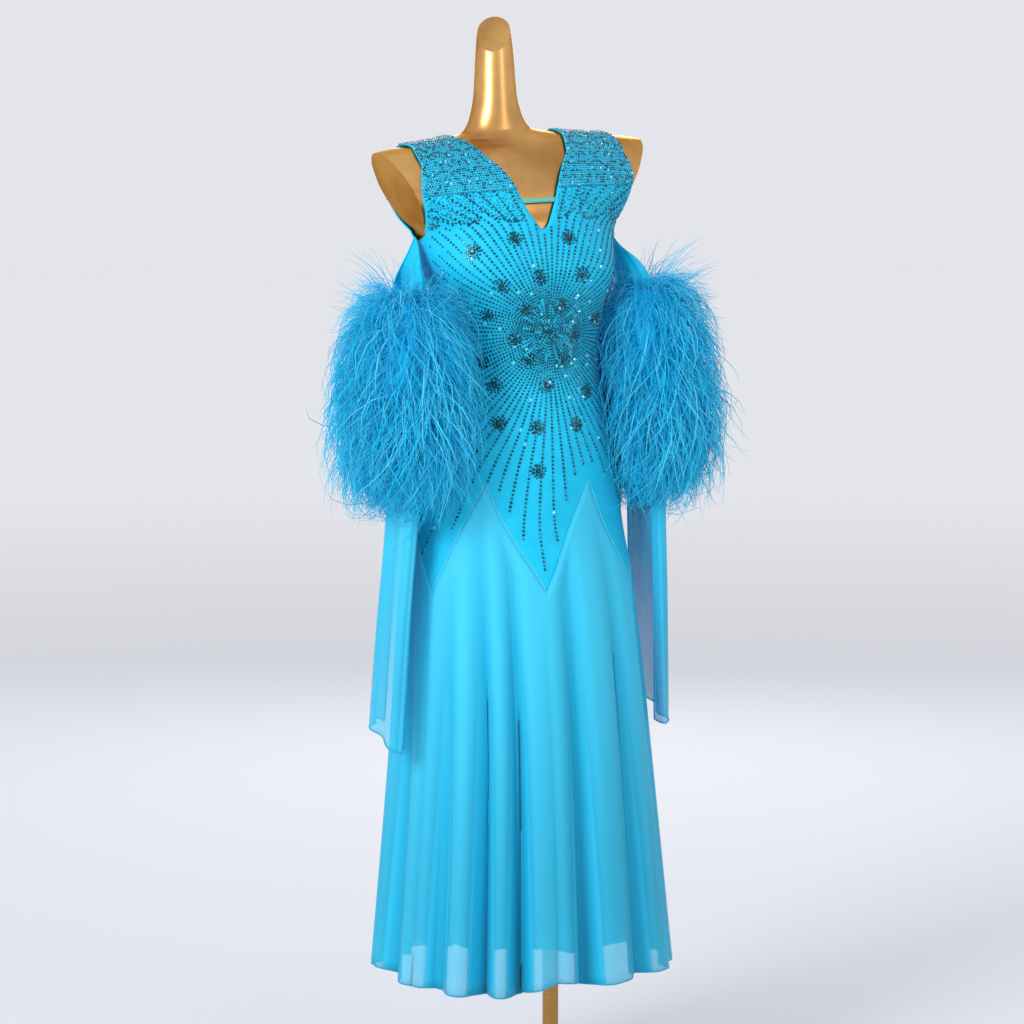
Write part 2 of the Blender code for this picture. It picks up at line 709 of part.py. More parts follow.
def band_point(side, angle, height, distance=0.0):
    """A point of a sleeve band or, below it, of a float. The angle starts towards the body and turns forward."""
    foot = SLEEVE_BANDS[0].height
    inward, back = 0.0, 0.0
    if height < foot:
        fold = FLOAT.at(height)
        middle, across, along, middle_y = fold.middle, fold.across, fold.along, FLOAT_MIDDLE_Y
        if side > 0:
            drop = (foot - height) / (foot - FLOAT_FRONT_HEM)
            inward, back = (drift * drop for drift in LEFT_FLOAT_DRIFT)
    else:
        band = SLEEVE.at(height)
        middle, across = (band.inner + band.outer) / 2, (band.outer - band.inner) / 2
        along, middle_y = band.reach, band.middle_y
    x = middle + inward - (across + distance) * math.cos(angle)
    y = middle_y + back - (along + distance) * math.sin(angle)
    return Vector((arm_middle(height) + side * x, y, lifted(side, height)))


def ring_angles(count):
    return [2 * math.pi * i / count for i in range(count)]


def arm_core(side):
    band = SLEEVE_BANDS[0]
    return Vector((arm_middle(band.height) + side * (band.inner + band.outer) / 2, band.middle_y, band.height))


def sleeve(name, side):
    """The cold-shoulder sleeve: a band whose slanting upper edge rises to the underarm."""
    foot = SLEEVE_BANDS[0].height
    rows = []
    for climb in np.linspace(0, 1, SLEEVE_ROWS + 1):
        row = []
        for angle in ring_angles(SLEEVE_COLUMNS):
            rim = SLEEVE_RIM_LOW + (UNDERARM - SLEEVE_RIM_LOW) * (1 + math.cos(angle)) / 2
            row.append(band_point(side, angle, foot + (rim - foot) * climb))
        rows.append(row)
    cloth(name, [facing_out(rows, arm_core(side))], CLOTH, "crepe", ring=True)


def float_panel(name, side):
    """A chiffon float, folded open towards the body."""
    angles = np.linspace(FLOAT_OPENING, 2 * math.pi - FLOAT_OPENING, FLOAT_COLUMNS + 1)
    top = FLOAT_SECTIONS[-1].height
    rows = []
    for climb in np.linspace(0, 1, FLOAT_ROWS + 1):
        row = []
        for angle in angles:
            hem = FLOAT_BACK_HEM + (FLOAT_FRONT_HEM - FLOAT_BACK_HEM) * (1 + math.sin(angle)) / 2
            row.append(band_point(side, angle, hem + (top - hem) * climb))
        rows.append(row)
    cloth(name, [facing_out(rows, arm_core(side))], CLOTH, "chiffon")


def clear_of_body(point, distance):
    """The point, moved away from the gown's centre line until it is a distance off the bodice."""
    section = GOWN.at(point.z)
    middle = body_middle(point.z)
    x, y = point.x - middle.x, point.y - middle.y
    depth = section.front if y < 0 else section.back
    angle = math.atan2(x / section.half_width, -y / depth)
    surface = figure(GOWN, angle, point.z)
    reach = math.hypot(surface.x - middle.x, surface.y - middle.y) + EASE + CLOTH + distance
    away = math.hypot(x, y)
    stretch = max(1.0, reach / away)
    return Vector((middle.x + x * stretch, middle.y + y * stretch, point.z))


def feathers(name, side):
    """The plain solid that the ostrich feathers of a cuff fill, round the sleeve band."""
    heights = np.linspace(FEATHER_REACH[0].height, FEATHER_REACH[-1].height, FEATHER_ROWS + 1)
    outer, inner = [], []
    for height in heights:
        reach = FEATHERS.at(height)
        outer_row, inner_row = [], []
        for angle in ring_angles(SLEEVE_COLUMNS):
            x = FEATHER_MIDDLE - reach.across * math.cos(angle)
            y = FEATHER_MIDDLE_Y - reach.along * math.sin(angle)
            spot = Vector((arm_middle(height) + side * x, y, lifted(side, height)))
            outer_row.append(clear_of_body(spot, FEATHER_CLEAR))
            inner_row.append(band_point(side, angle, height, FEATHER_BORE))
        outer.append(outer_row)
        inner.append(inner_row)
    bm = bmesh.new()
    corners = add_faces(bm, outer + inner[::-1], ring=True)
    for i in range(SLEEVE_COLUMNS):
        j = (i + 1) % SLEEVE_COLUMNS
        bm.faces.new((corners[-1][i], corners[-1][j], corners[0][j], corners[0][i]))
    if bm.calc_volume(signed=True) < 0:
        bmesh.ops.reverse_faces(bm, faces=bm.faces)
    add_object(name, mesh_of(bm, name), "feather")


def gown():
    panel("bodice_front", behind=False)
    panel("bodice_back", behind=True)
    neck_bar()
    for number in range(YOKE_POINTS):
        skirt_gore(number)
    for number in range(LINING_GORES):
        lining_gore(number)
    for name, side in (("left", 1), ("right", -1)):
        strap(f"strap_{name}", side)
        sleeve(f"sleeve_{name}", side)
        feathers(f"feathers_{name}", side)
        float_panel(f"float_{name}", side)


if __name__ == "__main__":
    for leftover in list(bpy.data.objects):
        bpy.data.objects.remove(leftover)
    for group in ("Ballroom gown", "Cutters"):
        bpy.context.scene.collection.children.link(bpy.data.collections.new(group))
    form_torso()
    stand()
    gown()
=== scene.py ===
"""Ballroom gown on a limbless dress form: finished cloth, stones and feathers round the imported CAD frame.

Metres, +Z up. The form faces -Y and its left side is +X. Angles round the body start at the front and turn
towards +X. The cloth pieces are the CAD model's own sheets, worked out again at a finer spacing.
"""

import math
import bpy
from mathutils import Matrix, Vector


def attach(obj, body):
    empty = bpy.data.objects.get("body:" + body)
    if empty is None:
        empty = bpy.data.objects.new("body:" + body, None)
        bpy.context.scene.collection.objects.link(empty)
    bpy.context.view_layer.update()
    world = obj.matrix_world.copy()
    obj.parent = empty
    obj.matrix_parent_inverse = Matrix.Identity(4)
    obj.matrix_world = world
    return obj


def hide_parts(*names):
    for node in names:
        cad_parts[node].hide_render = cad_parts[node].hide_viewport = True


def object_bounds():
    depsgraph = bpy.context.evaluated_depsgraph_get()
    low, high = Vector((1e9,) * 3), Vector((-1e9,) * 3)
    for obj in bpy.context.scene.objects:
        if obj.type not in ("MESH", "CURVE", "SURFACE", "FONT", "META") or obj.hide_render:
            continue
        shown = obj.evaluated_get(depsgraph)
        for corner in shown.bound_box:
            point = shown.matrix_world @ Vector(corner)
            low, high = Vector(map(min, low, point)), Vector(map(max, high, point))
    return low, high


bl_info = {
    "name": "Ballroom gown",
    "version": (1, 0, 0),
    "blender": (4, 5, 0),
    "location": "View3D > Sidebar > Gown",
    "description": "Builds a stoned ballroom gown with feather cuffs on a gold dress form",
    "category": "Add Mesh",
}

from collections import namedtuple

import bmesh
import bpy
import numpy as np
from bpy.props import FloatProperty, FloatVectorProperty, IntProperty, PointerProperty
from mathutils import Matrix, Vector
from mathutils.kdtree import KDTree

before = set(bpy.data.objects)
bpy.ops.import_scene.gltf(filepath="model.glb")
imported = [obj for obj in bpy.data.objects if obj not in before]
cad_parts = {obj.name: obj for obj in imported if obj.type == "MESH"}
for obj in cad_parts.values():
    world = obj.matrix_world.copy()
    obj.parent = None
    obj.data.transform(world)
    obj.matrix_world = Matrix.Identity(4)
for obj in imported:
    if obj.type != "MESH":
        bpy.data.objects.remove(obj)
CAD_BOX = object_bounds()

# ---- The gown's sizes, as in the CAD model -------------------------------------------------------
CLOTH = 0.0015
LINING_CLOTH = 0.001
EASE = 0.005
SHOULDER_EASE = 0.002
LINING_EASE = 0.0016
SEAM = 0.0004
STITCH_GAP = 0.0005
SHOULDER_SEAM = 0.004

YOKE_POINT = 0.825
YOKE_PEAK = 0.99
YOKE_POINTS = 6
HIP_TWIST = math.radians(-4)
TWIST_FROM, TWIST_TO = 0.99, 1.25
YOKE_SEAM = 0.0018
UNDERARM = 1.358
NECK_POINT = 1.369
CHEST_LINE = 1.43
LINING_TOP = 0.935
LINING_HEM = 0.284

SHOULDER_TILT = 0.07
TILT_FROM, TILT_TO = 1.25, 1.48
BUST_HEIGHT, BUST_RISE = 1.305, 0.05
BUST_ANGLE, BUST_SPREAD = math.radians(38), math.radians(27)
BUST_DEPTH = 0.02

SOCKET_TOP = Vector((0.212, 0.0, 1.487))
SOCKET_TIP = Vector((0.152, 0.0, 1.378))
SOCKET_RUN = 0.012
NECK_CUT_LOW = 1.640
NECK_CUT_SLOPE = math.radians(52)
NECK_CUT_TURN = math.radians(-30)

POLE_RADIUS = 0.0125
POLE_FIT = 0.0003
BASE_RADIUS = 0.17
BASE_EDGE = 0.008
FORM_BOTTOM = 0.845

Section = namedtuple("Section", "height half_width front back centre_x centre_y")
FORM_SECTIONS = (
    Section(0.845, 0.125, 0.082, 0.086, -0.060, 0.005),
    Section(0.865, 0.152, 0.102, 0.106, -0.060, 0.005),
    Section(0.930, 0.168, 0.113, 0.118, -0.060, 0.005),
    Section(1.000, 0.163, 0.112, 0.112, -0.058, 0.003),
    Section(1.080, 0.138, 0.100, 0.092, -0.052, 0.000),
    Section(1.165, 0.116, 0.089, 0.079, -0.048, 0.000),
    Section(1.240, 0.125, 0.098, 0.088, -0.053, 0.000),
    Section(1.320, 0.146, 0.108, 0.100, -0.062, 0.000),
    Section(1.375, 0.158, 0.106, 0.102, -0.065, 0.000),
    Section(1.398, 0.185, 0.103, 0.101, -0.067, 0.002),
    Section(1.427, 0.228, 0.098, 0.096, -0.068, 0.004),
    Section(1.455, 0.258, 0.088, 0.088, -0.069, 0.007),
    Section(1.479, 0.260, 0.073, 0.075, -0.070, 0.010),
    Section(1.494, 0.238, 0.058, 0.060, -0.071, 0.013),
    Section(1.504, 0.192, 0.047, 0.050, -0.073, 0.016),
    Section(1.512, 0.110, 0.041, 0.044, -0.077, 0.018),
    Section(1.524, 0.054, 0.038, 0.040, -0.083, 0.020),
    Section(1.547, 0.040, 0.036, 0.037, -0.085, 0.020),
    Section(1.580, 0.033, 0.033, 0.033, -0.086, 0.020),
    Section(1.640, 0.029, 0.029, 0.029, -0.087, 0.020),
    Section(1.680, 0.024, 0.025, 0.025, -0.088, 0.020),
    Section(1.696, 0.015, 0.016, 0.016, -0.088, 0.020),
    Section(1.700, 0.008, 0.008, 0.008, -0.088, 0.020),
)
SKIRT_SECTIONS = (
    Section(0.200, 0.243, 0.200, 0.192, -0.048, 0.004),
    Section(0.550, 0.208, 0.172, 0.166, -0.051, 0.004),
    Section(0.834, 0.182, 0.134, 0.136, -0.057, 0.004),
)
LINING_SECTIONS = (
    Section(0.280, 0.190, 0.150, 0.146, -0.050, 0.004),
    Section(0.550, 0.181, 0.140, 0.138, -0.052, 0.004),
    Section(0.834, 0.172, 0.121, 0.124, -0.057, 0.004),
)

# Troughs between the skirt's pipes: angle and half width in degrees, depth, and the height they start at.
Fold = namedtuple("Fold", "angle width depth start")
SKIRT_FOLDS = (
    Fold(-164, 13, 0.034, 0.90),
    Fold(-138, 12, 0.038, 0.94),
    Fold(-107, 11, 0.032, 0.88),
    Fold(-80, 12, 0.026, 0.92),
    Fold(-54, 10, 0.024, 0.88),
    Fold(-35, 9, 0.038, 0.96),
    Fold(-20, 9, 0.040, 0.97),
    Fold(8, 11, 0.034, 0.96),
    Fold(35, 12, 0.026, 0.93),
    Fold(66, 12, 0.024, 0.88),
    Fold(99, 12, 0.038, 0.92),
    Fold(136, 12, 0.034, 0.90),
    Fold(163, 11, 0.038, 0.95),
)
FOLD_LEAN = 0.18  # each trough is this much wider on the side it is entered from, and steeper on the other
# Narrow creases that lie on the pipes themselves.
CREASES = (
    Fold(-150, 3.5, 0.005, 0.80),
    Fold(-122, 3.0, 0.005, 0.76),
    Fold(-95, 3.0, 0.004, 0.82),
    Fold(-66, 3.5, 0.006, 0.88),
    Fold(-58, 2.5, 0.004, 0.70),
    Fold(-41, 2.5, 0.005, 0.86),
    Fold(-23, 2.5, 0.006, 0.95),
    Fold(-6, 3.0, 0.005, 0.80),
    Fold(4, 3.0, 0.006, 0.84),
    Fold(12, 2.5, 0.004, 0.72),
    Fold(33, 2.5, 0.006, 0.92),
    Fold(57, 3.0, 0.005, 0.85),
    Fold(86, 3.5, 0.005, 0.80),
    Fold(116, 3.0, 0.005, 0.86),
    Fold(148, 3.5, 0.005, 0.82),
    Fold(176, 3.0, 0.005, 0.84),
)
HemPoint = namedtuple("HemPoint", "angle height")
HEM_POINTS = (
    HemPoint(-135, 0.228),
    HemPoint(-90, 0.240),
    HemPoint(-60, 0.226),
    HemPoint(-40, 0.218),
    HemPoint(-18, 0.216),
    HemPoint(-2, 0.236),
    HemPoint(14, 0.224),
    HemPoint(35, 0.228),
    HemPoint(75, 0.220),
    HemPoint(120, 0.232),
    HemPoint(165, 0.222),
)

# A fold this deep gets the full painted shade of a trough.
DEEPEST_TROUGH = 0.040

# The scalloped lower edge of the lace at the front.
PETALS = 7.5
PETAL_START = 0.6
PETAL_TOP = 1.402
PETAL_DEPTH = 0.020

Band = namedtuple("Band", "height inner outer reach middle_y")
SLEEVE_BANDS = (
    Band(0.985, 0.186, 0.222, 0.052, -0.034),
    Band(1.100, 0.184, 0.222, 0.056, -0.034),
    Band(1.240, 0.176, 0.216, 0.056, -0.027),
    Band(1.280, 0.171, 0.206, 0.048, -0.021),
    Band(1.318, 0.169, 0.190, 0.032, -0.014),
    Band(1.358, 0.1674, 0.1726, 0.011, -0.008),
)
SLEEVE_RIM_LOW = 1.279
SLEEVE_HANGS_FROM = 1.26
LEFT_LIFT = 0.016
LIFT_FROM = 1.30

Reach = namedtuple("Reach", "height across along")
FEATHER_REACH = (
    Reach(0.955, 0.050, 0.078),
    Reach(0.985, 0.084, 0.108),
    Reach(1.050, 0.106, 0.132),
    Reach(1.130, 0.112, 0.142),
    Reach(1.210, 0.104, 0.134),
    Reach(1.255, 0.082, 0.110),
    Reach(1.277, 0.052, 0.086),
)
FEATHER_MIDDLE = 0.206
FEATHER_MIDDLE_Y = -0.034
FEATHER_CLEAR = 0.012

Float = namedtuple("Float", "height middle across along")
FLOAT_SECTIONS = (
    Float(0.585, 0.234, 0.0150, 0.058),
    Float(0.800, 0.219, 0.0150, 0.053),
    Float(0.930, 0.208, 0.0165, 0.051),
    Float(0.9846, 0.204, 0.0180, 0.052),
)
FLOAT_MIDDLE_Y = -0.034
FLOAT_OPENING = math.radians(50)
FLOAT_FRONT_HEM, FLOAT_BACK_HEM = 0.585, 0.625
LEFT_FLOAT_DRIFT = (-0.014, 0.028)

NECK_AT_CHEST, NECK_AT_SHOULDER = 0.034, 0.091
NECK_CURVE = 0.65
BACK_NECK_AT_CHEST, BACK_NECK_AT_SHOULDER = 0.074, 0.091
ARMHOLE_AT_CHEST, ARMHOLE_AT_SHOULDER = 0.172, 0.163
ARMHOLE_SCOOP = 0.96
BACK_POINT = YOKE_POINT + (UNDERARM - YOKE_POINT) * 11 / 13

LACE = 0.0010
SCALLOP = 0.0035
SCALLOPS = 5
ELASTIC = 0.0009
ELASTIC_HEIGHT = 1.413
ELASTIC_WIDTH = 0.007

# ---- Finer spacing of the shown pieces -----------------------------------------------------------
BODICE_COLUMNS = 36
TORSO_ROWS = 65
CHEST_ROWS = 9
SHOULDER_ROWS = 18
GORE_COLUMNS = 48
GORE_ROWS = 44
LINING_COLUMNS = 54
LINING_ROWS = 12
SLEEVE_COLUMNS = 72
SLEEVE_ROWS = 34
FLOAT_COLUMNS = 60
FLOAT_ROWS = 36
FORM_COLUMNS = 120
FORM_ROWS = 190

# ---- The stones' layout --------------------------------------------------------------------------
BURST_HEIGHT = 1.218  # middle of the burst of rows on the front
# Clusters round the burst's middle: bearing in degrees from the wearer's left, turning up, and distance.
Rosette = namedtuple("Rosette", "bearing distance")
ROSETTES = (
    Rosette(0, 0.0),
    Rosette(-9, 0.044),
    Rosette(64, 0.047),
    Rosette(137, 0.050),
    Rosette(195, 0.052),
    Rosette(238, 0.055),
    Rosette(300, 0.052),
    Rosette(60, 0.100),
    Rosette(98, 0.085),
    Rosette(132, 0.100),
    Rosette(163, 0.092),
    Rosette(206, 0.112),
    Rosette(228, 0.114),
    Rosette(270, 0.085),
    Rosette(307, 0.118),
    Rosette(13, 0.092),
    Rosette(76, 0.146),
    Rosette(107, 0.148),
    Rosette(129, 0.160),
    Rosette(231, 0.185),
    Rosette(247, 0.157),
    Rosette(266, 0.150),
    Rosette(288, 0.153),
    Rosette(269, 0.215),
    Rosette(233, 0.255),
)
# How far a row of stones runs down towards the yoke's points before it stops.
RowEnd = namedtuple("RowEnd", "bearing distance")
ROW_ENDS = (
    RowEnd(180, 0.170),
    RowEnd(205, 0.200),
    RowEnd(225, 0.300),
    RowEnd(233, 0.400),
    RowEnd(248, 0.440),
    RowEnd(252, 0.250),
    RowEnd(257, 0.240),
    RowEnd(262, 0.280),
    RowEnd(266, 0.322),
    RowEnd(270, 0.368),
    RowEnd(274, 0.326),
    RowEnd(278, 0.262),
    RowEnd(283, 0.214),
    RowEnd(292, 0.222),
    RowEnd(301, 0.350),
    RowEnd(312, 0.300),
    RowEnd(360, 0.220),
)

# ---- The floor, camera and lights ----------------------------------------------------------------
CAMERA_AT = Vector((-2.113, -4.532, 1.350))
CAMERA_AIM = Vector((-0.055, 0.025, 0.933))
CAMERA_LENS = 113.4


# ---- Curves through tables -----------------------------------------------------------------------
def monotone_cubic(knots, values, at):
    """A smooth curve through a table's rows that never swings past them."""
    step = np.diff(knots)
    slope = np.diff(values) / step
    tangent = np.zeros(len(knots))
    same_way = slope[:-1] * slope[1:] > 0
    before, after = slope[:-1][same_way], slope[1:][same_way]
    tangent[1:-1][same_way] = 2 * before * after / (before + after)
    tangent[0], tangent[-1] = slope[0], slope[-1]
    k = np.clip(np.searchsorted(knots, at) - 1, 0, len(step) - 1)
    t = (at - knots[k]) / step[k]
    return (
        values[k] * (1 + 2 * t) * (1 - t) ** 2
        + values[k + 1] * t * t * (3 - 2 * t)
        + step[k] * t * (1 - t) * (tangent[k] * (1 - t) - tangent[k + 1] * t)
    )


class Table:
    """A table of named rows, read at any values of its first column."""

    def __init__(self, rows):
        self.row = type(rows[0])
        values = np.array(rows, float)
        self.knots = np.linspace(values[0, 0], values[-1, 0], 1500)
        self.columns = [
            monotone_cubic(values[:, 0], values[:, c], self.knots) for c in range(1, values.shape[1])
        ]

    def at(self, knot):
        return self.row(knot, *(np.interp(knot, self.knots, column) for column in self.columns))


def above(sections, height):
    return tuple(section for section in sections if section.height >= height)


FORM = Table(FORM_SECTIONS)
GOWN = Table(SKIRT_SECTIONS + above(FORM_SECTIONS, 0.93))
LINING = Table(LINING_SECTIONS + above(FORM_SECTIONS, 0.93))
SLEEVE = Table(SLEEVE_BANDS)
FEATHERS = Table(FEATHER_REACH)
FLOAT = Table(FLOAT_SECTIONS)


def ramp(value, start, end):
    """0 before start, 1 after end, smooth between."""
    t = np.clip((np.asarray(value, float) - start) / (end - start), 0.0, 1.0)
    return t * t * (3 - 2 * t)


def turned(angle):
    """The same angle, from minus to plus half a turn."""
    return (angle + math.pi) % (2 * math.pi) - math.pi


def points(x, y, z):
    return np.stack(np.broadcast_arrays(x, y, z), axis=-1).astype(float)


def unit(vectors):
    return vectors / np.maximum(np.linalg.norm(vectors, axis=-1, keepdims=True), 1e-12)


# ---- The figure ----------------------------------------------------------------------------------
def bust(angle, height):
    rise = np.exp(-(((height - BUST_HEIGHT) / BUST_RISE) ** 2))
    cups = sum(np.exp(-((turned(angle - side * BUST_ANGLE) / BUST_SPREAD) ** 2)) for side in (-1, 1))
    return BUST_DEPTH * rise * cups


def figure(table, angle, height, pressed=0.0):
    """Points of a table's sections, pressed in towards the middle by an amount."""
    section = table.at(height)
    depth = np.where(np.cos(angle) > 0, section.front, section.back)
    swell = bust(angle, height) - pressed
    x = (section.half_width + swell) * np.sin(angle)
    y = -(depth + swell) * np.cos(angle)
    lift = SHOULDER_TILT * x * ramp(height, TILT_FROM, TILT_TO)
    return points(section.centre_x + x, section.centre_y + y, height + lift)


def tangents(surface, u, v):
    step = 1e-4
    along_u = (surface(u + step, v) - surface(u - step, v)) / (2 * step)
    along_v = (surface(u, v + step) - surface(u, v - step)) / (2 * step)
    return along_u, along_v


def off_surface(surface, u, v, distance):
    """The points of surface(u, v), moved out by a distance along the surface's normal."""
    along_u, along_v = tangents(surface, u, v)
    return surface(u, v) + unit(np.cross(along_u, along_v)) * distance


def shoulder_height(x):
    """The height at which the shoulder's top line crosses x from the centre."""
    crest = GOWN.knots > SOCKET_TOP.z
    return np.interp(-np.abs(x), -GOWN.columns[0][crest], GOWN.knots[crest])


def over_shoulder(x, turn):
    """Points above the chest line. turn is 0 in front, a quarter turn on top and half a turn behind."""
    x, turn = np.broadcast_arrays(np.asarray(x, float), np.asarray(turn, float))
    in_front = turn < math.pi / 2
    lift = np.where(in_front, turn, math.pi - turn)
    low, high = np.full(x.shape, CHEST_LINE), shoulder_height(x)
    for _ in range(30):
        height = (low + high) / 2
        section = GOWN.at(height)
        depth = np.where(in_front, section.front, section.back)
        reach = depth * np.sqrt(np.maximum(0.0, 1 - (x / section.half_width) ** 2))
        short = (height - CHEST_LINE) * np.cos(lift) < reach * np.sin(lift)
        low, high = np.where(short, height, low), np.where(short, high, height)
    angle = np.arcsin(np.clip(x / section.half_width, -1.0, 1.0))
    return figure(GOWN, np.where(in_front, angle, math.pi - angle), height)


# ---- The gown's lines ----------------------------------------------------------------------------
def yoke_line(angle):
    """Height of the zigzag seam between the hip yoke and the skirt."""
    towards_point = np.abs((angle / (2 * math.pi / YOKE_POINTS)) % 1 - 0.5) * 2
    return YOKE_PEAK + (YOKE_POINT - YOKE_PEAK) * towards_point


def hem_line(angle):
    """Height of the uneven hem."""
    ring = sorted(HEM_POINTS)
    around = [HemPoint(ring[-1].angle - 360, ring[-1].height), *ring]
    around.append(HemPoint(ring[0].angle + 360, ring[0].height))
    knots = np.array([point.angle for point in around], float)
    heights = np.array([point.height for point in around])
    degrees = (np.degrees(angle) - knots[0]) % 360 + knots[0]
    k = np.clip(np.searchsorted(knots, degrees) - 1, 0, len(knots) - 2)
    return heights[k] + (heights[k + 1] - heights[k]) * ramp(
        (degrees - knots[k]) / (knots[k + 1] - knots[k]), 0, 1
    )


def fold_depth(angle, height):
    """How far the skirt is pressed in by its troughs and creases."""
    depth = 0.0
    for folds, sharpness in ((SKIRT_FOLDS, 1.2), (CREASES, 1.0)):
        for fold in folds:
            away = np.degrees(turned(angle - math.radians(fold.angle))) / fold.width
            away = np.where(away < 0, -away / (1 + FOLD_LEAN), away / (1 - FOLD_LEAN))
            share = np.clip((fold.start - height) / (fold.start - SKIRT_SECTIONS[0].height), 0, 1) ** 0.85
            depth = depth + fold.depth * share * (
                0.5 + 0.5 * np.cos(math.pi * np.minimum(away, 1))
            ) ** sharpness
    return depth * ramp(yoke_line(angle - HIP_TWIST) - height, 0.0, 0.05)


def twist(height):
    return HIP_TWIST * (1 - ramp(height, TWIST_FROM, TWIST_TO))


def skirt_surface(angle, height):
    angle = angle + twist(height)
    return figure(GOWN, angle, height, fold_depth(angle, height))


def lining_surface(angle, height):
    """The lining hangs in pipes of its own below the hips, clear of the chiffon's troughs."""
    drop = ramp(LINING_TOP - height, 0.02, LINING_TOP - LINING_HEM)
    pipes = drop * (0.007 + 0.007 * np.cos(11 * angle + 1.3 * np.sin(2 * angle)))
    return figure(LINING, angle, height, pipes)


def body_surface(angle, height):
    return figure(GOWN, angle + twist(height), height)


# ---- Meshes --------------------------------------------------------------------------------------
def show(obj, *nodes, slot):
    """Puts a finished piece in the scene, standing for CAD nodes and riding on the one body."""
    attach(obj, "root")
    if nodes:
        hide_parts(*nodes)
    return obj


def link(name, mesh, material):
    obj = bpy.data.objects.new(name, mesh)
    bpy.context.scene.collection.objects.link(obj)
    if material:
        mesh.materials.clear()
        mesh.materials.append(material)
    return obj


def lengths(grid, axis):
    """Distances along the cloth from a grid's first row or column."""
    steps = np.linalg.norm(np.diff(grid, axis=axis), axis=2)
    return np.insert(np.cumsum(steps, axis=axis), 0, 0.0, axis=axis)


def facing_out(grid, middle):
    """The grid, turned round if its faces would point at the middle."""
    corner = grid[0, 0]
    normal = np.cross(grid[0, 1] - corner, grid[1, 0] - corner)
    away = corner[:2] - np.asarray(middle)[:2]
    return grid if normal[:2] @ away > 0 else grid[:, ::-1]


def sheet_mesh(name, grids):
    """Quads between the grids' rows, with a UV map in metres of cloth. Shared edges are merged."""
    spots, faces, flat = [], [], []
    start = 0
    for grid in grids:
        rows, columns = grid.shape[:2]
        number = start + np.arange(rows * columns).reshape(rows, columns)
        faces.append(
            np.stack((number[:-1, :-1], number[:-1, 1:], number[1:, 1:], number[1:, :-1]), -1).reshape(-1, 4)
        )
        flat.append(np.stack((lengths(grid, 1), lengths(grid, 0)), -1).reshape(-1, 2))
        spots.append(grid.reshape(-1, 3))
        start += rows * columns
    mesh = bpy.data.meshes.new(name)
    mesh.from_pydata(np.concatenate(spots).tolist(), [], np.concatenate(faces).tolist())
    corners = np.empty(len(mesh.loops), int)
    mesh.loops.foreach_get("vertex_index", corners)
    mesh.uv_layers.new(name="UVMap").data.foreach_set("uv", np.concatenate(flat)[corners].ravel())
    bm = bmesh.new()
    bm.from_mesh(mesh)
    bmesh.ops.remove_doubles(bm, verts=bm.verts, dist=1e-5)
    bm.to_mesh(mesh)
    bm.free()
    mesh.shade_smooth()
    return mesh


def cloth(name, grids, thickness, material):
    """A cloth piece from grids of points, with its wall outwards."""
    obj = link(name, sheet_mesh(name, grids), material)
    wall = obj.modifiers.new("Cloth thickness", "SOLIDIFY")
    wall.thickness = thickness
    wall.offset = 1.0
    wall.use_quality_normals = True
    return obj


def closed(grid):
    """A ring's grid, with its first column again at the end."""
    return np.concatenate((grid, grid[:, :1]), axis=1)


def cords(name, paths, radius, material, sides=6):
    """Round cords along paths of points. A path that ends where it starts joins up."""
    around = np.linspace(0, 2 * math.pi, sides, endpoint=False)
    spots, faces, start = [], [], 0
    for path in paths:
        path = np.asarray(path, float)
        loop = np.linalg.norm(path[0] - path[-1]) < 1e-6
        path = path[:-1] if loop else path
        ahead = np.roll(path, -1, 0) - np.roll(path, 1, 0)
        if not loop:
            ahead[0], ahead[-1] = path[1] - path[0], path[-1] - path[-2]
        ahead = unit(ahead)
        aside = unit(np.cross(ahead, np.where(np.abs(ahead[:, 2:]) > 0.9, (0.3, 1.0, 0.0), (0.0, 0.0, 1.0))))
        for i in range(1, len(aside)):  # carried along, so that the cord doesn't twist
            carried = aside[i - 1] - ahead[i] * (aside[i - 1] @ ahead[i])
            aside[i] = carried / max(np.linalg.norm(carried), 1e-9)
        up = np.cross(ahead, aside)
        rings = path[:, None] + radius * (
            np.cos(around)[None, :, None] * aside[:, None] + np.sin(around)[None, :, None] * up[:, None]
        )
        count = len(path)
        number = start + np.arange(count * sides).reshape(count, sides)
        nearer = number if loop else number[:-1]
        further = np.roll(number, -1, 0) if loop else number[1:]
        quads = np.stack(
            (nearer, np.roll(nearer, -1, 1), np.roll(further, -1, 1), further), -1
        ).reshape(-1, 4)
        faces += quads.tolist()
        if not loop:
            faces += [number[0][::-1].tolist(), number[-1].tolist()]
        spots.append(rings.reshape(-1, 3))
        start += count * sides
    mesh = bpy.data.meshes.new(name)
    mesh.from_pydata(np.concatenate(spots).tolist(), [], faces)
    mesh.shade_smooth()
    return link(name, mesh, material)


def turned_solid(name, profile, material, steps=96):
    """A solid turned about the pole's axis. The profile runs down its outer side."""
    bm = bmesh.new()
    edge = [bm.verts.new((radius, 0.0, height)) for radius, height in profile]
    for first, second in zip(edge, edge[1:]):
        bm.edges.new((first, second))
    bmesh.ops.spin(
        bm, geom=bm.verts[:] + bm.edges[:], cent=(0, 0, 0), axis=(0, 0, 1), angle=2 * math.pi, steps=steps
    )
    bmesh.ops.remove_doubles(bm, verts=bm.verts, dist=1e-5)
    bmesh.ops.recalc_face_normals(bm, faces=bm.faces)
    mesh = bpy.data.meshes.new(name)
    bm.to_mesh(mesh)
    bm.free()
    mesh.shade_smooth()
    mesh.set_sharp_from_angle(angle=math.radians(35))
    return link(name, mesh, material)


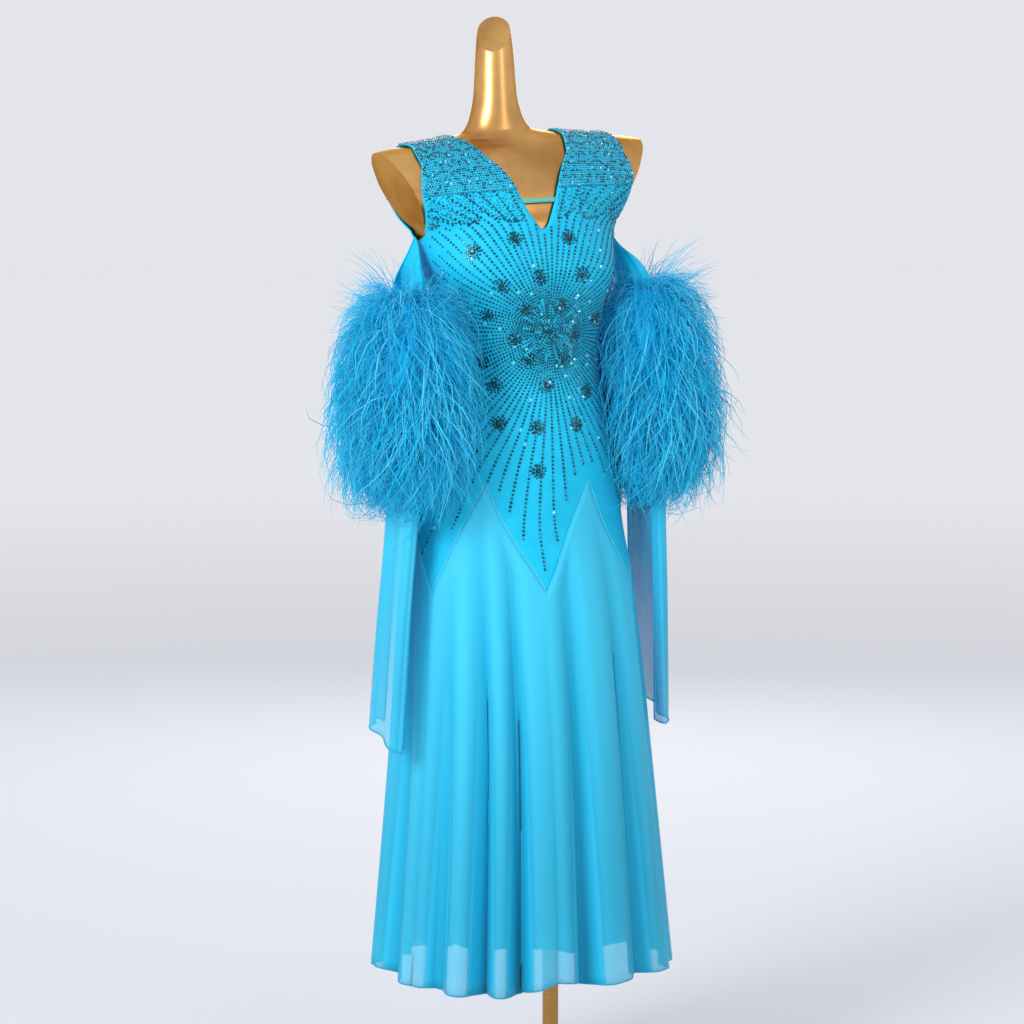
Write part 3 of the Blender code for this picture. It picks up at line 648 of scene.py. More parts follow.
# ---- Node trees ----------------------------------------------------------------------------------
def add_node(tree, kind, inputs=None, stops=(), **settings):
    """Adds a node. inputs maps a socket's name or number to a value or a feeding socket. stops are a
    colour ramp's positions and colours."""
    node = tree.nodes.new(kind)
    for number, (position, colour) in enumerate(stops):
        ramp_stops = node.color_ramp.elements
        stop = ramp_stops[number] if number < len(ramp_stops) else ramp_stops.new(position)
        stop.position, stop.color = position, linear(colour) if isinstance(colour, str) else colour
    for key, value in settings.items():
        setattr(node, key, value)
    for key, value in (inputs or {}).items():
        if isinstance(value, bpy.types.NodeSocket):
            tree.links.new(value, node.inputs[key])
        else:
            node.inputs[key].default_value = value
    return node


def linear(hex_colour):
    """An sRGB hex value as a linear colour."""
    shares = [int(hex_colour[i : i + 2], 16) / 255 for i in (1, 3, 5)]
    return (*(s / 12.92 if s <= 0.04045 else ((s + 0.055) / 1.055) ** 2.4 for s in shares), 1.0)


def blank_material(name):
    """A material with only its output and a Principled shader."""
    material = bpy.data.materials.new(name)
    material.use_nodes = True
    tree = material.node_tree
    return material, tree, tree.nodes["Principled BSDF"]


def woven_bump(tree, shader, thread, depth, noise_depth, strength=0.5):
    """Threads over and under each other on the piece's UV map, with a soft unevenness under them."""
    flat = add_node(tree, "ShaderNodeUVMap", uv_map="UVMap").outputs["UV"]
    bands = []
    for direction in ("X", "Y"):
        # A wave's bands repeat every 2 pi / 20 of its own space, so this scale gives one band a thread.
        wave = add_node(
            tree, "ShaderNodeTexWave", {"Vector": flat, "Scale": math.pi / 10 / thread},
            wave_type="BANDS", bands_direction=direction,
        )
        bands.append(wave.outputs["Fac"])
    weave = add_node(tree, "ShaderNodeMath", {0: bands[0], 1: bands[1]}, operation="MAXIMUM").outputs[0]
    soft = add_node(tree, "ShaderNodeTexCoord").outputs["Object"]
    uneven = add_node(
        tree, "ShaderNodeTexNoise", {"Vector": soft, "Scale": 38.0, "Detail": 3.0}
    ).outputs["Fac"]
    wide = add_node(tree, "ShaderNodeBump", {"Height": uneven, "Distance": noise_depth, "Strength": strength})
    fine = add_node(
        tree, "ShaderNodeBump",
        {"Height": weave, "Distance": depth, "Strength": strength, "Normal": wide.outputs["Normal"]},
    )
    tree.links.new(fine.outputs["Normal"], shader.inputs["Normal"])
    return flat, weave, uneven


def crepe(look):
    """Stretch crepe, polyester knitted and dyed: matt, with a fine pebble and a faint sheen at its edges."""
    material, tree, shader = blank_material("dyed_stretch_crepe")
    # The pebble is about 0.4 mm; it is drawn at 1.4 mm so that it shows.
    flat, weave, uneven = woven_bump(tree, shader, 0.0014, 0.00025, 0.0012)
    shade = add_node(
        tree, "ShaderNodeMath", {0: uneven, 1: 0.75, 2: 0.12}, operation="MULTIPLY_ADD"
    ).outputs[0]
    tint = add_node(
        tree, "ShaderNodeValToRGB", {"Fac": shade},
        ((0.25, look.crepe_shadow), (0.62, look.crepe)),
    ).outputs["Color"]
    tree.links.new(tint, shader.inputs["Base Color"])
    shader.inputs["Roughness"].default_value = 0.62
    shader.inputs["Specular IOR Level"].default_value = 0.22
    shader.inputs["Sheen Weight"].default_value = 0.08
    shader.inputs["Sheen Roughness"].default_value = 0.45
    shader.inputs["Sheen Tint"].default_value = linear("#A8ECFF")
    return material


def chiffon(look, name="dyed_chiffon", wall_cover=0.52, lying_cover=0.95, lying_from=0.62):
    """Polyester chiffon: crisp and half clear. One layer shows what is behind it, two hide most of it."""
    material, tree, shader = blank_material(name)
    # Chiffon's threads are about 0.2 mm apart; they are drawn at 1.2 mm so that they show.
    flat, weave, uneven = woven_bump(tree, shader, 0.0012, 0.00015, 0.0010, 0.35)
    # The troughs are painted darker, beside a trough and deeper in it: painted shade where the folds fall
    # into shadow.
    trough = add_node(tree, "ShaderNodeAttribute", attribute_name="trough").outputs["Fac"]
    tint = add_node(
        tree, "ShaderNodeValToRGB", {"Fac": trough},
        ((0.0, look.chiffon), (0.35, look.chiffon_shadow), (0.85, look.chiffon_trough_shade)),
    ).outputs["Color"]
    tree.links.new(tint, shader.inputs["Base Color"])
    # Near the hem a single layer hangs free; further up it lies on the lining and hides it.
    height = add_node(tree, "ShaderNodeSeparateXYZ", {"Vector": flat}).outputs["Y"]
    cover = add_node(
        tree, "ShaderNodeMapRange",
        {
            "Value": height,
            "From Min": 0.05,
            "From Max": lying_from,
            "To Min": wall_cover,
            "To Max": lying_cover,
        },
        interpolation_type="SMOOTHSTEP",
    ).outputs["Result"]
    # In a trough the cloth lies on itself, so less is seen through it.
    doubled = add_node(
        tree, "ShaderNodeMapRange",
        {"Value": trough, "From Min": 0.02, "From Max": 0.22, "To Min": 0.0, "To Max": 0.92},
        interpolation_type="SMOOTHSTEP",
    ).outputs["Result"]
    cover = add_node(tree, "ShaderNodeMath", {0: cover, 1: doubled}, operation="MAXIMUM").outputs[0]
    whole = add_node(tree, "ShaderNodeMath", {0: weave, 1: 0.06, 2: cover}, operation="MULTIPLY_ADD")
    whole.use_clamp = True
    tree.links.new(whole.outputs[0], shader.inputs["Alpha"])
    shader.inputs["Roughness"].default_value = 0.6
    shader.inputs["Specular IOR Level"].default_value = 0.25
    shader.inputs["Sheen Weight"].default_value = 0.12
    shader.inputs["Sheen Roughness"].default_value = 0.4
    shader.inputs["Sheen Tint"].default_value = linear("#C4F0FF")
    return material


def lining_cloth(look):
    """Polyester satin lining, woven close: opaque, with a soft gloss down its length."""
    material, tree, shader = blank_material("dyed_satin_lining")
    flat, weave, uneven = woven_bump(tree, shader, 0.0016, 0.0001, 0.0010, 0.3)
    tint = add_node(
        tree, "ShaderNodeValToRGB", {"Fac": uneven},
        ((0.3, look.lining_shadow), (0.7, look.lining)),
    ).outputs["Color"]
    tree.links.new(tint, shader.inputs["Base Color"])
    shader.inputs["Roughness"].default_value = 0.45
    shader.inputs["Specular IOR Level"].default_value = 0.4
    return material


def lace(look):
    """Embroidered lace under the shoulder stones: corded thread on net, a little darker than the crepe."""
    material, tree, shader = blank_material("corded_lace")
    where = add_node(tree, "ShaderNodeTexCoord").outputs["Object"]
    cells = add_node(
        tree, "ShaderNodeTexVoronoi", {"Vector": where, "Scale": 240.0}, feature="DISTANCE_TO_EDGE"
    )
    tint = add_node(
        tree, "ShaderNodeValToRGB", {"Fac": cells.outputs["Distance"]},
        ((0.02, look.lace), (0.30, look.crepe_shadow)),
    ).outputs["Color"]
    tree.links.new(tint, shader.inputs["Base Color"])
    raised = add_node(
        tree,
        "ShaderNodeBump",
        {"Height": cells.outputs["Distance"], "Distance": 0.0006, "Strength": 0.8},
        invert=True,
    )
    tree.links.new(raised.outputs["Normal"], shader.inputs["Normal"])
    shader.inputs["Roughness"].default_value = 0.5
    return material


def crystal(look):
    """Foiled flat-back rhinestones in dyed lead-free crystal: mirror foil behind cut glass, so each facet
    is either bright or dark. The colour differs a little from stone to stone, and a few stones are painted
    near white: painted glints."""
    material, tree, shader = blank_material("foiled_crystal")
    shade = add_node(tree, "ShaderNodeAttribute", attribute_name="shade").outputs["Fac"]
    # The last stop, near white, is for painted glints on a few stones.
    tint = add_node(
        tree, "ShaderNodeValToRGB", {"Fac": shade},
        ((0.0, look.stone_dark), (0.45, look.stone), (0.80, look.stone_light), (0.95, "#B4E8F2")),
    ).outputs["Color"]
    tree.links.new(tint, shader.inputs["Base Color"])
    shader.inputs["Metallic"].default_value = 0.30
    shader.inputs["Roughness"].default_value = 0.26
    shader.inputs["Coat Weight"].default_value = 0.25
    shader.inputs["Coat Roughness"].default_value = 0.03
    return material


def plume(look):
    """Dyed ostrich barbs: matt and soft, lighter where they thin out and greyer at their tips."""
    material, tree, shader = blank_material("dyed_ostrich_feather")
    along = add_node(tree, "ShaderNodeAttribute", attribute_name="along").outputs["Fac"]
    shade = add_node(tree, "ShaderNodeAttribute", attribute_name="shade").outputs["Fac"]
    body = add_node(
        tree, "ShaderNodeValToRGB", {"Fac": shade},
        ((0.0, look.feather_deep), (0.5, look.feather), (0.9, look.feather_light)),
    ).outputs["Color"]
    worn = add_node(
        tree, "ShaderNodeValToRGB", {"Fac": shade},
        ((0.0, look.feather), (0.55, look.feather_tip), (1.0, look.feather_light)),
    ).outputs["Color"]
    towards_tip = add_node(
        tree,
        "ShaderNodeMapRange",
        {"Value": along, "From Min": 0.55, "From Max": 1.0},
        interpolation_type="SMOOTHSTEP",
    )
    tint = add_node(
        tree, "ShaderNodeMix", {"Factor": towards_tip.outputs["Result"], 6: body, 7: worn}, data_type="RGBA"
    )
    tree.links.new(tint.outputs[2], shader.inputs["Base Color"])
    shader.inputs["Roughness"].default_value = 0.75
    shader.inputs["Specular IOR Level"].default_value = 0.15
    shader.inputs["Sheen Weight"].default_value = 0.05
    shader.inputs["Sheen Roughness"].default_value = 0.5
    shader.inputs["Sheen Tint"].default_value = linear("#9CE6FF")
    return material


def elastic_cloth(look):
    """Braided elastic: matt, ribbed along its length."""
    material, tree, shader = blank_material("braided_elastic")
    flat = add_node(tree, "ShaderNodeUVMap", uv_map="UVMap").outputs["UV"]
    ribs = add_node(
        tree,
        "ShaderNodeTexWave",
        {"Vector": flat, "Scale": math.pi / 10 / 0.0012},
        wave_type="BANDS",
        bands_direction="Y",
    ).outputs["Fac"]
    # The grooves between the ribs are painted darker: painted shade.
    tree.links.new(add_node(
        tree, "ShaderNodeValToRGB", {"Fac": ribs},
        ((0.0, "#4FB3A6"), (1.0, look.elastic)),
    ).outputs["Color"], shader.inputs["Base Color"])
    raised = add_node(tree, "ShaderNodeBump", {"Height": ribs, "Distance": 0.0003, "Strength": 0.6})
    tree.links.new(raised.outputs["Normal"], shader.inputs["Normal"])
    shader.inputs["Roughness"].default_value = 0.6
    return material


def gold_lacquer(look):
    """Fibreglass, vacuum-plated in gold and lacquered: a smooth tinted mirror, a little cloudy in patches."""
    material, tree, shader = blank_material("gold_plated_lacquer")
    where = add_node(tree, "ShaderNodeTexCoord").outputs["Object"]
    cloudy = add_node(
        tree, "ShaderNodeTexNoise", {"Vector": where, "Scale": 9.0, "Detail": 4.0}
    ).outputs["Fac"]
    tree.links.new(
        add_node(
            tree, "ShaderNodeValToRGB", {"Fac": cloudy},
            ((0.30, look.gold_shadow), (0.62, look.gold)),
        ).outputs["Color"], shader.inputs["Base Color"]
    )
    gloss = add_node(
        tree,
        "ShaderNodeMapRange",
        {"Value": cloudy, "From Min": 0.3, "From Max": 0.7, "To Min": 0.28, "To Max": 0.38},
    )
    tree.links.new(gloss.outputs["Result"], shader.inputs["Roughness"])
    orange_peel = add_node(
        tree, "ShaderNodeTexNoise", {"Vector": where, "Scale": 120.0, "Detail": 2.0}
    ).outputs["Fac"]
    raised = add_node(tree, "ShaderNodeBump", {"Height": orange_peel, "Distance": 0.0002, "Strength": 0.25})
    tree.links.new(raised.outputs["Normal"], shader.inputs["Normal"])
    shader.inputs["Metallic"].default_value = 1.0
    shader.inputs["Specular Tint"].default_value = linear("#C8A070")
    shader.inputs["Coat Weight"].default_value = 0.15
    shader.inputs["Coat Roughness"].default_value = 0.12
    return material


def brushed_brass(look):
    """Brass-plated steel, brushed round the pole: fine rings that stretch the highlights."""
    material, tree, shader = blank_material("brushed_brass_plate")
    where = add_node(tree, "ShaderNodeTexCoord").outputs["Object"]
    stretched = add_node(
        tree, "ShaderNodeMapping", {"Vector": where, "Scale": (6.0, 6.0, 900.0)}
    ).outputs["Vector"]
    grain = add_node(
        tree, "ShaderNodeTexNoise", {"Vector": stretched, "Scale": 2.0, "Detail": 2.0}
    ).outputs["Fac"]
    tree.links.new(add_node(
        tree, "ShaderNodeValToRGB", {"Fac": grain},
        ((0.3, "#9C7437"), (0.7, look.brass)),
    ).outputs["Color"], shader.inputs["Base Color"])
    gloss = add_node(
        tree,
        "ShaderNodeMapRange",
        {"Value": grain, "From Min": 0.3, "From Max": 0.7, "To Min": 0.22, "To Max": 0.36},
    )
    tree.links.new(gloss.outputs["Result"], shader.inputs["Roughness"])
    shader.inputs["Metallic"].default_value = 1.0
    return material


# ---- Geometry Nodes ------------------------------------------------------------------------------
def new_tree(name, **sizes):
    """A Geometry Nodes tree that takes points and named sizes. Gives the tree and its input node."""
    tree = bpy.data.node_groups.new(name, "GeometryNodeTree")
    tree.interface.new_socket("Points", in_out="INPUT", socket_type="NodeSocketGeometry")
    for label, default in sizes.items():
        kind = "NodeSocketInt" if isinstance(default, int) else "NodeSocketFloat"
        socket = tree.interface.new_socket(
            label.replace("_", " ").capitalize(), in_out="INPUT", socket_type=kind
        )
        socket.default_value = default
    tree.interface.new_socket("Pieces", in_out="OUTPUT", socket_type="NodeSocketGeometry")
    return tree, add_node(tree, "NodeGroupInput")


def place_on_points(tree, inputs, shape, axis, pick=None):
    """Puts the shape on each point with its axis along the point's "grow" attribute."""
    grow = add_node(tree, "GeometryNodeInputNamedAttribute", {"Name": "grow"}, data_type="FLOAT_VECTOR")
    size = add_node(tree, "GeometryNodeInputNamedAttribute", {"Name": "size"}, data_type="FLOAT")
    upright = add_node(
        tree,
        "FunctionNodeAlignRotationToVector",
        {"Vector": grow.outputs["Attribute"]},
        axis=axis,
        pivot_axis="AUTO",
    )
    level = add_node(
        tree, "FunctionNodeAlignRotationToVector",
        {"Rotation": upright.outputs["Rotation"], "Vector": (0.0, 0.0, 1.0)}, axis="X", pivot_axis="Z",
    )
    spin = add_node(tree, "GeometryNodeInputNamedAttribute", {"Name": "spin"}, data_type="FLOAT")
    about = add_node(
        tree, "FunctionNodeAxisAngleToRotation", {"Axis": (0.0, 0.0, 1.0), "Angle": spin.outputs["Attribute"]}
    )
    turned_round = add_node(
        tree, "FunctionNodeRotateRotation",
        {"Rotation": level.outputs["Rotation"], "Rotate By": about.outputs["Rotation"]},
        rotation_space="LOCAL",
    )
    sockets = {
        "Points": inputs.outputs["Points"],
        "Instance": shape,
        "Rotation": turned_round.outputs["Rotation"],
        "Scale": size.outputs["Attribute"],
    }
    if pick is not None:
        sockets["Pick Instance"] = True
        sockets["Instance Index"] = pick
    return add_node(tree, "GeometryNodeInstanceOnPoints", sockets).outputs["Instances"]


def end_tree(tree, instances, material):
    """Makes the instances real and gives them their material."""
    real = add_node(tree, "GeometryNodeRealizeInstances", {"Geometry": instances}).outputs["Geometry"]
    made = add_node(
        tree, "GeometryNodeSetMaterial", {"Geometry": real, "Material": material}
    ).outputs["Geometry"]
    add_node(tree, "NodeGroupOutput", {"Pieces": made})
    return tree


def stone_tree(material):
    """Flat-back stones: a cut crown with eight facets round a flat table, one unit across."""
    tree, inputs = new_tree("Flat-back stones", facets=8, table=0.54, crown=0.36)
    half_table = add_node(
        tree, "ShaderNodeMath", {0: inputs.outputs["Table"], 1: 0.5}, operation="MULTIPLY"
    ).outputs[0]
    crown = add_node(
        tree, "GeometryNodeMeshCone",
        {
            "Vertices": inputs.outputs["Facets"], "Radius Top": half_table, "Radius Bottom": 0.5,
            "Depth": inputs.outputs["Crown"],
        },
        fill_type="NGON",
    ).outputs["Mesh"]
    return end_tree(tree, place_on_points(tree, inputs, crown, "Z"), material)


def barb_share(kind, kinds):
    """The share of the full droop that one kind of barb has."""
    return 0.45 + 1.1 * kind / (kinds - 1)


def barb_tree(material, kinds=5):
    """Ostrich barbs: tapering threads one unit long that leave along Z and droop, in a few shapes."""
    tree, inputs = new_tree("Ostrich barbs", segments=7, thickness=0.006, droop=1.6, wave=0.05)
    shapes = add_node(tree, "GeometryNodeJoinGeometry")
    for kind in range(kinds):
        line = add_node(
            tree, "GeometryNodeCurvePrimitiveLine", {"Start": (0.0, 0.0, 0.0), "End": (0.0, 0.0, 1.0)}
        ).outputs["Curve"]
        dotted = add_node(
            tree, "GeometryNodeResampleCurve", {"Curve": line, "Count": inputs.outputs["Segments"]}
        ).outputs["Curve"]
        along = add_node(tree, "GeometryNodeSplineParameter").outputs["Factor"]
        # The barb keeps its length and bends through one arc: out by sin(a)/a and down by (1 - cos(a))/a.
        bend = add_node(
            tree,
            "ShaderNodeMath",
            {0: inputs.outputs["Droop"], 1: barb_share(kind, kinds)},
            operation="MULTIPLY",
        ).outputs[0]
        here = add_node(tree, "ShaderNodeMath", {0: along, 1: bend}, operation="MULTIPLY").outputs[0]
        sine = add_node(tree, "ShaderNodeMath", {0: here}, operation="SINE").outputs[0]
        cosine = add_node(tree, "ShaderNodeMath", {0: here}, operation="COSINE").outputs[0]
        out = add_node(tree, "ShaderNodeMath", {0: sine, 1: bend}, operation="DIVIDE").outputs[0]
        fall = add_node(tree, "ShaderNodeMath", {0: cosine, 1: 1.0}, operation="SUBTRACT").outputs[0]
        down = add_node(tree, "ShaderNodeMath", {0: fall, 1: bend}, operation="DIVIDE").outputs[0]
        phase = add_node(
            tree, "ShaderNodeMath", {0: along, 1: 5.5, 2: 1.7 * kind}, operation="MULTIPLY_ADD"
        ).outputs[0]
        swing = add_node(tree, "ShaderNodeMath", {0: phase}, operation="SINE").outputs[0]
        swing = add_node(
            tree, "ShaderNodeMath", {0: swing, 1: inputs.outputs["Wave"]}, operation="MULTIPLY"
        ).outputs[0]
        swing = add_node(tree, "ShaderNodeMath", {0: swing, 1: along}, operation="MULTIPLY").outputs[0]
        place = add_node(tree, "ShaderNodeCombineXYZ", {"X": down, "Y": swing, "Z": out}).outputs["Vector"]
        curved = add_node(
            tree, "GeometryNodeSetPosition", {"Geometry": dotted, "Position": place}
        ).outputs["Geometry"]
        marked = add_node(
            tree, "GeometryNodeStoreNamedAttribute", {"Geometry": curved, "Name": "along", "Value": along},
            data_type="FLOAT", domain="POINT",
        ).outputs["Geometry"]
        taper = add_node(
            tree,
            "ShaderNodeMapRange",
            {"Value": along, "From Min": 0.0, "From Max": 1.0, "To Min": 1.0, "To Max": 0.16},
        ).outputs["Result"]
        thread = add_node(
            tree, "GeometryNodeCurvePrimitiveCircle", {"Resolution": 3, "Radius": inputs.outputs["Thickness"]}
        ).outputs["Curve"]
        barb = add_node(
            tree, "GeometryNodeCurveToMesh",
            {"Curve": marked, "Profile Curve": thread, "Scale": taper, "Fill Caps": True},
        ).outputs["Mesh"]
        whole = add_node(tree, "GeometryNodeGeometryToInstance", {"Geometry": barb}).outputs["Instances"]
        tree.links.new(whole, shapes.inputs["Geometry"])
    pick = add_node(
        tree, "GeometryNodeInputNamedAttribute", {"Name": "kind"}, data_type="INT"
    ).outputs["Attribute"]
    placed = place_on_points(tree, inputs, shapes.outputs["Geometry"], "Z", pick)
    return end_tree(tree, placed, material)


def bake(name, tree, spots, grow, size, spin, shade, kind=None, **sizes):
    """Runs a tree on a cloud of points and keeps the result as a plain mesh."""
    cloud = bpy.data.meshes.new(name)
    cloud.from_pydata(np.asarray(spots).tolist(), [], [])
    attributes = {"grow": grow, "size": size, "spin": spin, "shade": shade}
    for label, values in attributes.items():
        values = np.asarray(values, float)
        holds = "FLOAT_VECTOR" if values.ndim == 2 else "FLOAT"
        layer = cloud.attributes.new(label, holds, "POINT")
        layer.data.foreach_set("vector" if values.ndim == 2 else "value", values.ravel())
    if kind is not None:
        cloud.attributes.new("kind", "INT", "POINT").data.foreach_set("value", np.asarray(kind, int))
    obj = link(name, cloud, None)
    grower = obj.modifiers.new("Grow", "NODES")
    grower.node_group = tree
    for socket in tree.interface.items_tree:
        label = socket.name.lower().replace(" ", "_")
        if socket.in_out == "INPUT" and label in sizes:
            grower[socket.identifier] = sizes[label]
    graph = bpy.context.evaluated_depsgraph_get()
    made = bpy.data.meshes.new_from_object(obj.evaluated_get(graph), depsgraph=graph)
    obj.modifiers.remove(grower)
    obj.data = made
    made.name = name
    bpy.data.meshes.remove(cloud)
    return obj


# ---- Settings ------------------------------------------------------------------------------------
def colour_setting(label, description, hex_colour):
    return FloatVectorProperty(
        name=label,
        description=description,
        default=linear(hex_colour),
        size=4,
        subtype="COLOR",
        min=0.0,
        max=1.0,
    )


class GownColourSettings(bpy.types.PropertyGroup):
    crepe: colour_setting("Crepe", "The bodice's crepe", "#12C4EA")
    crepe_shadow: colour_setting("Crepe, low", "The crepe between its pebbles", "#0CB6E0")
    chiffon: colour_setting("Chiffon", "The skirt's chiffon on its pipes", "#38C3E6")
    # The chiffon is painted darker beside a trough and darker still in it: painted shade in the skirt's
    # folds.
    chiffon_shadow: colour_setting("Chiffon, low", "The chiffon beside a trough", "#10A9D0")
    chiffon_trough_shade: colour_setting("Chiffon, deep", "The chiffon in a trough", "#0089AE")
    lining: colour_setting("Lining", "The satin lining", "#10BCE2")
    lining_shadow: colour_setting("Lining, low", "The lining where it is duller", "#08AAD4")
    lace: colour_setting("Lace", "The lace's cord on the shoulders", "#0EB2D6")
    stone: colour_setting("Stone", "Most stones", "#0C6478")
    stone_dark: colour_setting("Stone, dark", "The darkest stones", "#043844")
    stone_light: colour_setting("Stone, light", "The lighter stones", "#1CA4C0")
    feather: colour_setting("Feather", "Most ostrich barbs", "#12C8F4")
    feather_deep: colour_setting("Feather, deep", "The darkest barbs", "#00A2DC")
    feather_light: colour_setting("Feather, light", "The lightest barbs", "#64E0FC")
    feather_tip: colour_setting("Feather, tip", "Where a barb thins out", "#38C4E8")
    elastic: colour_setting("Elastic", "The elastic across the neckline", "#6AC6B6")
    gold: colour_setting("Gold", "The form's gold", "#E2B06C")
    gold_shadow: colour_setting("Gold, low", "The gold where it is cloudy", "#B48046")
    brass: colour_setting("Brass", "The stand's brass", "#BE9858")


class GownStoneSettings(bpy.types.PropertyGroup):
    rows: IntProperty(
        name="Rows", description="Rows of stones in the burst on the front", default=92, min=12, max=160
    )
    near_size: FloatProperty(
        name="Stone in the middle",
        description="Across a stone near the burst's middle",
        default=0.0036,
        unit="LENGTH",
    )
    far_size: FloatProperty(
        name="Stone at the ends",
        description="Across a stone at the ends of the rows",
        default=0.0047,
        unit="LENGTH",
    )
    near_pitch: FloatProperty(
        name="Pitch in the middle",
        description="Between stones near the burst's middle",
        default=0.0042,
        unit="LENGTH",
    )
    far_pitch: FloatProperty(
        name="Pitch at the ends",
        description="Between stones at the ends of the rows",
        default=0.0062,
        unit="LENGTH",
    )
    lace_pitch: FloatProperty(
        name="Pitch on the lace",
        description="Between stones on the shoulder lace",
        default=0.0038,
        unit="LENGTH",
    )
    cluster_size: FloatProperty(
        name="Cluster stone", description="Across the large stone in a cluster", default=0.0096, unit="LENGTH"
    )


class GownFeatherSettings(bpy.types.PropertyGroup):
    barbs: IntProperty(
        name="Barbs", description="Barbs in each half of a cuff", default=4300, min=100, max=6000
    )
    thickness: FloatProperty(
        name="Thickness", description="Radius of a barb at its root, as a share of its length", default=0.0070
    )
    droop: FloatProperty(
        name="Droop", description="Angle that a barb bends through, in radians", default=1.95
    )


class GownStageSettings(bpy.types.PropertyGroup):
    floor_size: FloatProperty(name="Floor", description="Side of the floor", default=400.0, unit="LENGTH")
    world_strength: FloatProperty(name="World", description="Brightness of the pale world", default=1.0)
    key_power: FloatProperty(name="Key light", description="Power of the main soft light", default=190.0)
    fill_power: FloatProperty(name="Fill light", description="Power of the fill light", default=22.0)
    world_colour: colour_setting("World colour", "Colour of the pale world", "#E4E5EA")


MATERIALS = {}


def material(maker):
    """The material that a function makes, made once."""
    if maker.__name__ not in MATERIALS:
        MATERIALS[maker.__name__] = maker(bpy.context.scene.gown_colours)
    return MATERIALS[maker.__name__]


# ---- Dress form and stand ------------------------------------------------------------------------
def block(name, matrix, size):
    """A cutting block, which is removed when its cut is made."""
    bm = bmesh.new()
    bmesh.ops.create_cube(bm, size=1.0, matrix=matrix @ Matrix.Diagonal((*size, 1.0)))
    mesh = bpy.data.meshes.new(name)
    bm.to_mesh(mesh)
    bm.free()
    return link(name, mesh, None)


def socket_block(side):
    """A block whose inner face is the flat oval of a shoulder socket."""
    centre_x = float(FORM.at((SOCKET_TOP.z + SOCKET_TIP.z) / 2).centre_x)
    rise = SHOULDER_TILT * side * SOCKET_TIP.x
    top = Vector((centre_x + side * SOCKET_TOP.x, 0.0, SOCKET_TOP.z + rise))
    tip = Vector((centre_x + side * SOCKET_TIP.x, 0.0, SOCKET_TIP.z + rise))
    up = (top - tip).normalized()
    out = Vector((side * up.z, 0.0, -side * up.x))
    length, depth, width = (top - tip).length * 1.5, 0.2, 0.4
    middle = tip + up * (length / 2 - SOCKET_RUN) + out * (depth / 2)
    axes = Matrix((out, up.cross(out), up)).transposed().to_4x4()
    return block("socket_block", Matrix.Translation(middle) @ axes, (depth, width, length))


def neck_block():
    """A block that leaves the slanting oval face at the top of the neck."""
    size = 0.3
    section = FORM.at(NECK_CUT_LOW)
    turn = Matrix.Rotation(NECK_CUT_TURN, 4, "Z")
    start = Vector(
        (section.centre_x, section.centre_y, NECK_CUT_LOW)
    ) + turn @ Vector((0.0, -section.front, 0.0))
    lean = turn @ Matrix.Rotation(NECK_CUT_SLOPE, 4, "X")
    return block(
        "neck_block", Matrix.Translation(start) @ lean @ Matrix.Translation((0.0, 0.0, size / 2)), (size,) * 3
    )


def dress_form():
    """Smooth moulded torso, cut flat at the shoulder sockets and at a slant on the neck."""
    runs = [
        math.hypot(b.height - a.height, b.half_width - a.half_width)
        for a, b in zip(FORM_SECTIONS, FORM_SECTIONS[1:])
    ]
    along = np.cumsum([0.0] + runs)
    heights = np.interp(np.linspace(0, along[-1], FORM_ROWS + 1), along, [s.height for s in FORM_SECTIONS])
    angles = np.linspace(0, 2 * math.pi, FORM_COLUMNS, endpoint=False)
    rings = figure(FORM, angles[None, :], heights[:, None])
    bm = bmesh.new()
    corners = [[bm.verts.new(spot) for spot in ring] for ring in rings]
    for lower, upper in zip(corners, corners[1:]):
        for i in range(FORM_COLUMNS):
            j = (i + 1) % FORM_COLUMNS
            bm.faces.new((lower[i], lower[j], upper[j], upper[i]))
    bm.faces.new(corners[0][::-1])
    bm.faces.new(corners[-1])
    mesh = bpy.data.meshes.new("dress_form")
    bm.to_mesh(mesh)
    bm.free()
    obj = link("dress_form", mesh, material(gold_lacquer))
    blocks = [socket_block(-1), socket_block(1), neck_block()]
    for cutter in blocks:
        cut = obj.modifiers.new("Cut", "BOOLEAN")
        cut.object = cutter
    graph = bpy.context.evaluated_depsgraph_get()
    made = bpy.data.meshes.new_from_object(obj.evaluated_get(graph), depsgraph=graph)
    obj.modifiers.clear()
    obj.data = made
    for cutter in blocks:
        bpy.data.objects.remove(cutter)
    made.materials.clear()
    made.materials.append(material(gold_lacquer))
    made.shade_smooth()
    made.set_sharp_from_angle(angle=math.radians(30))
    show(obj, "form_torso", slot="gold")


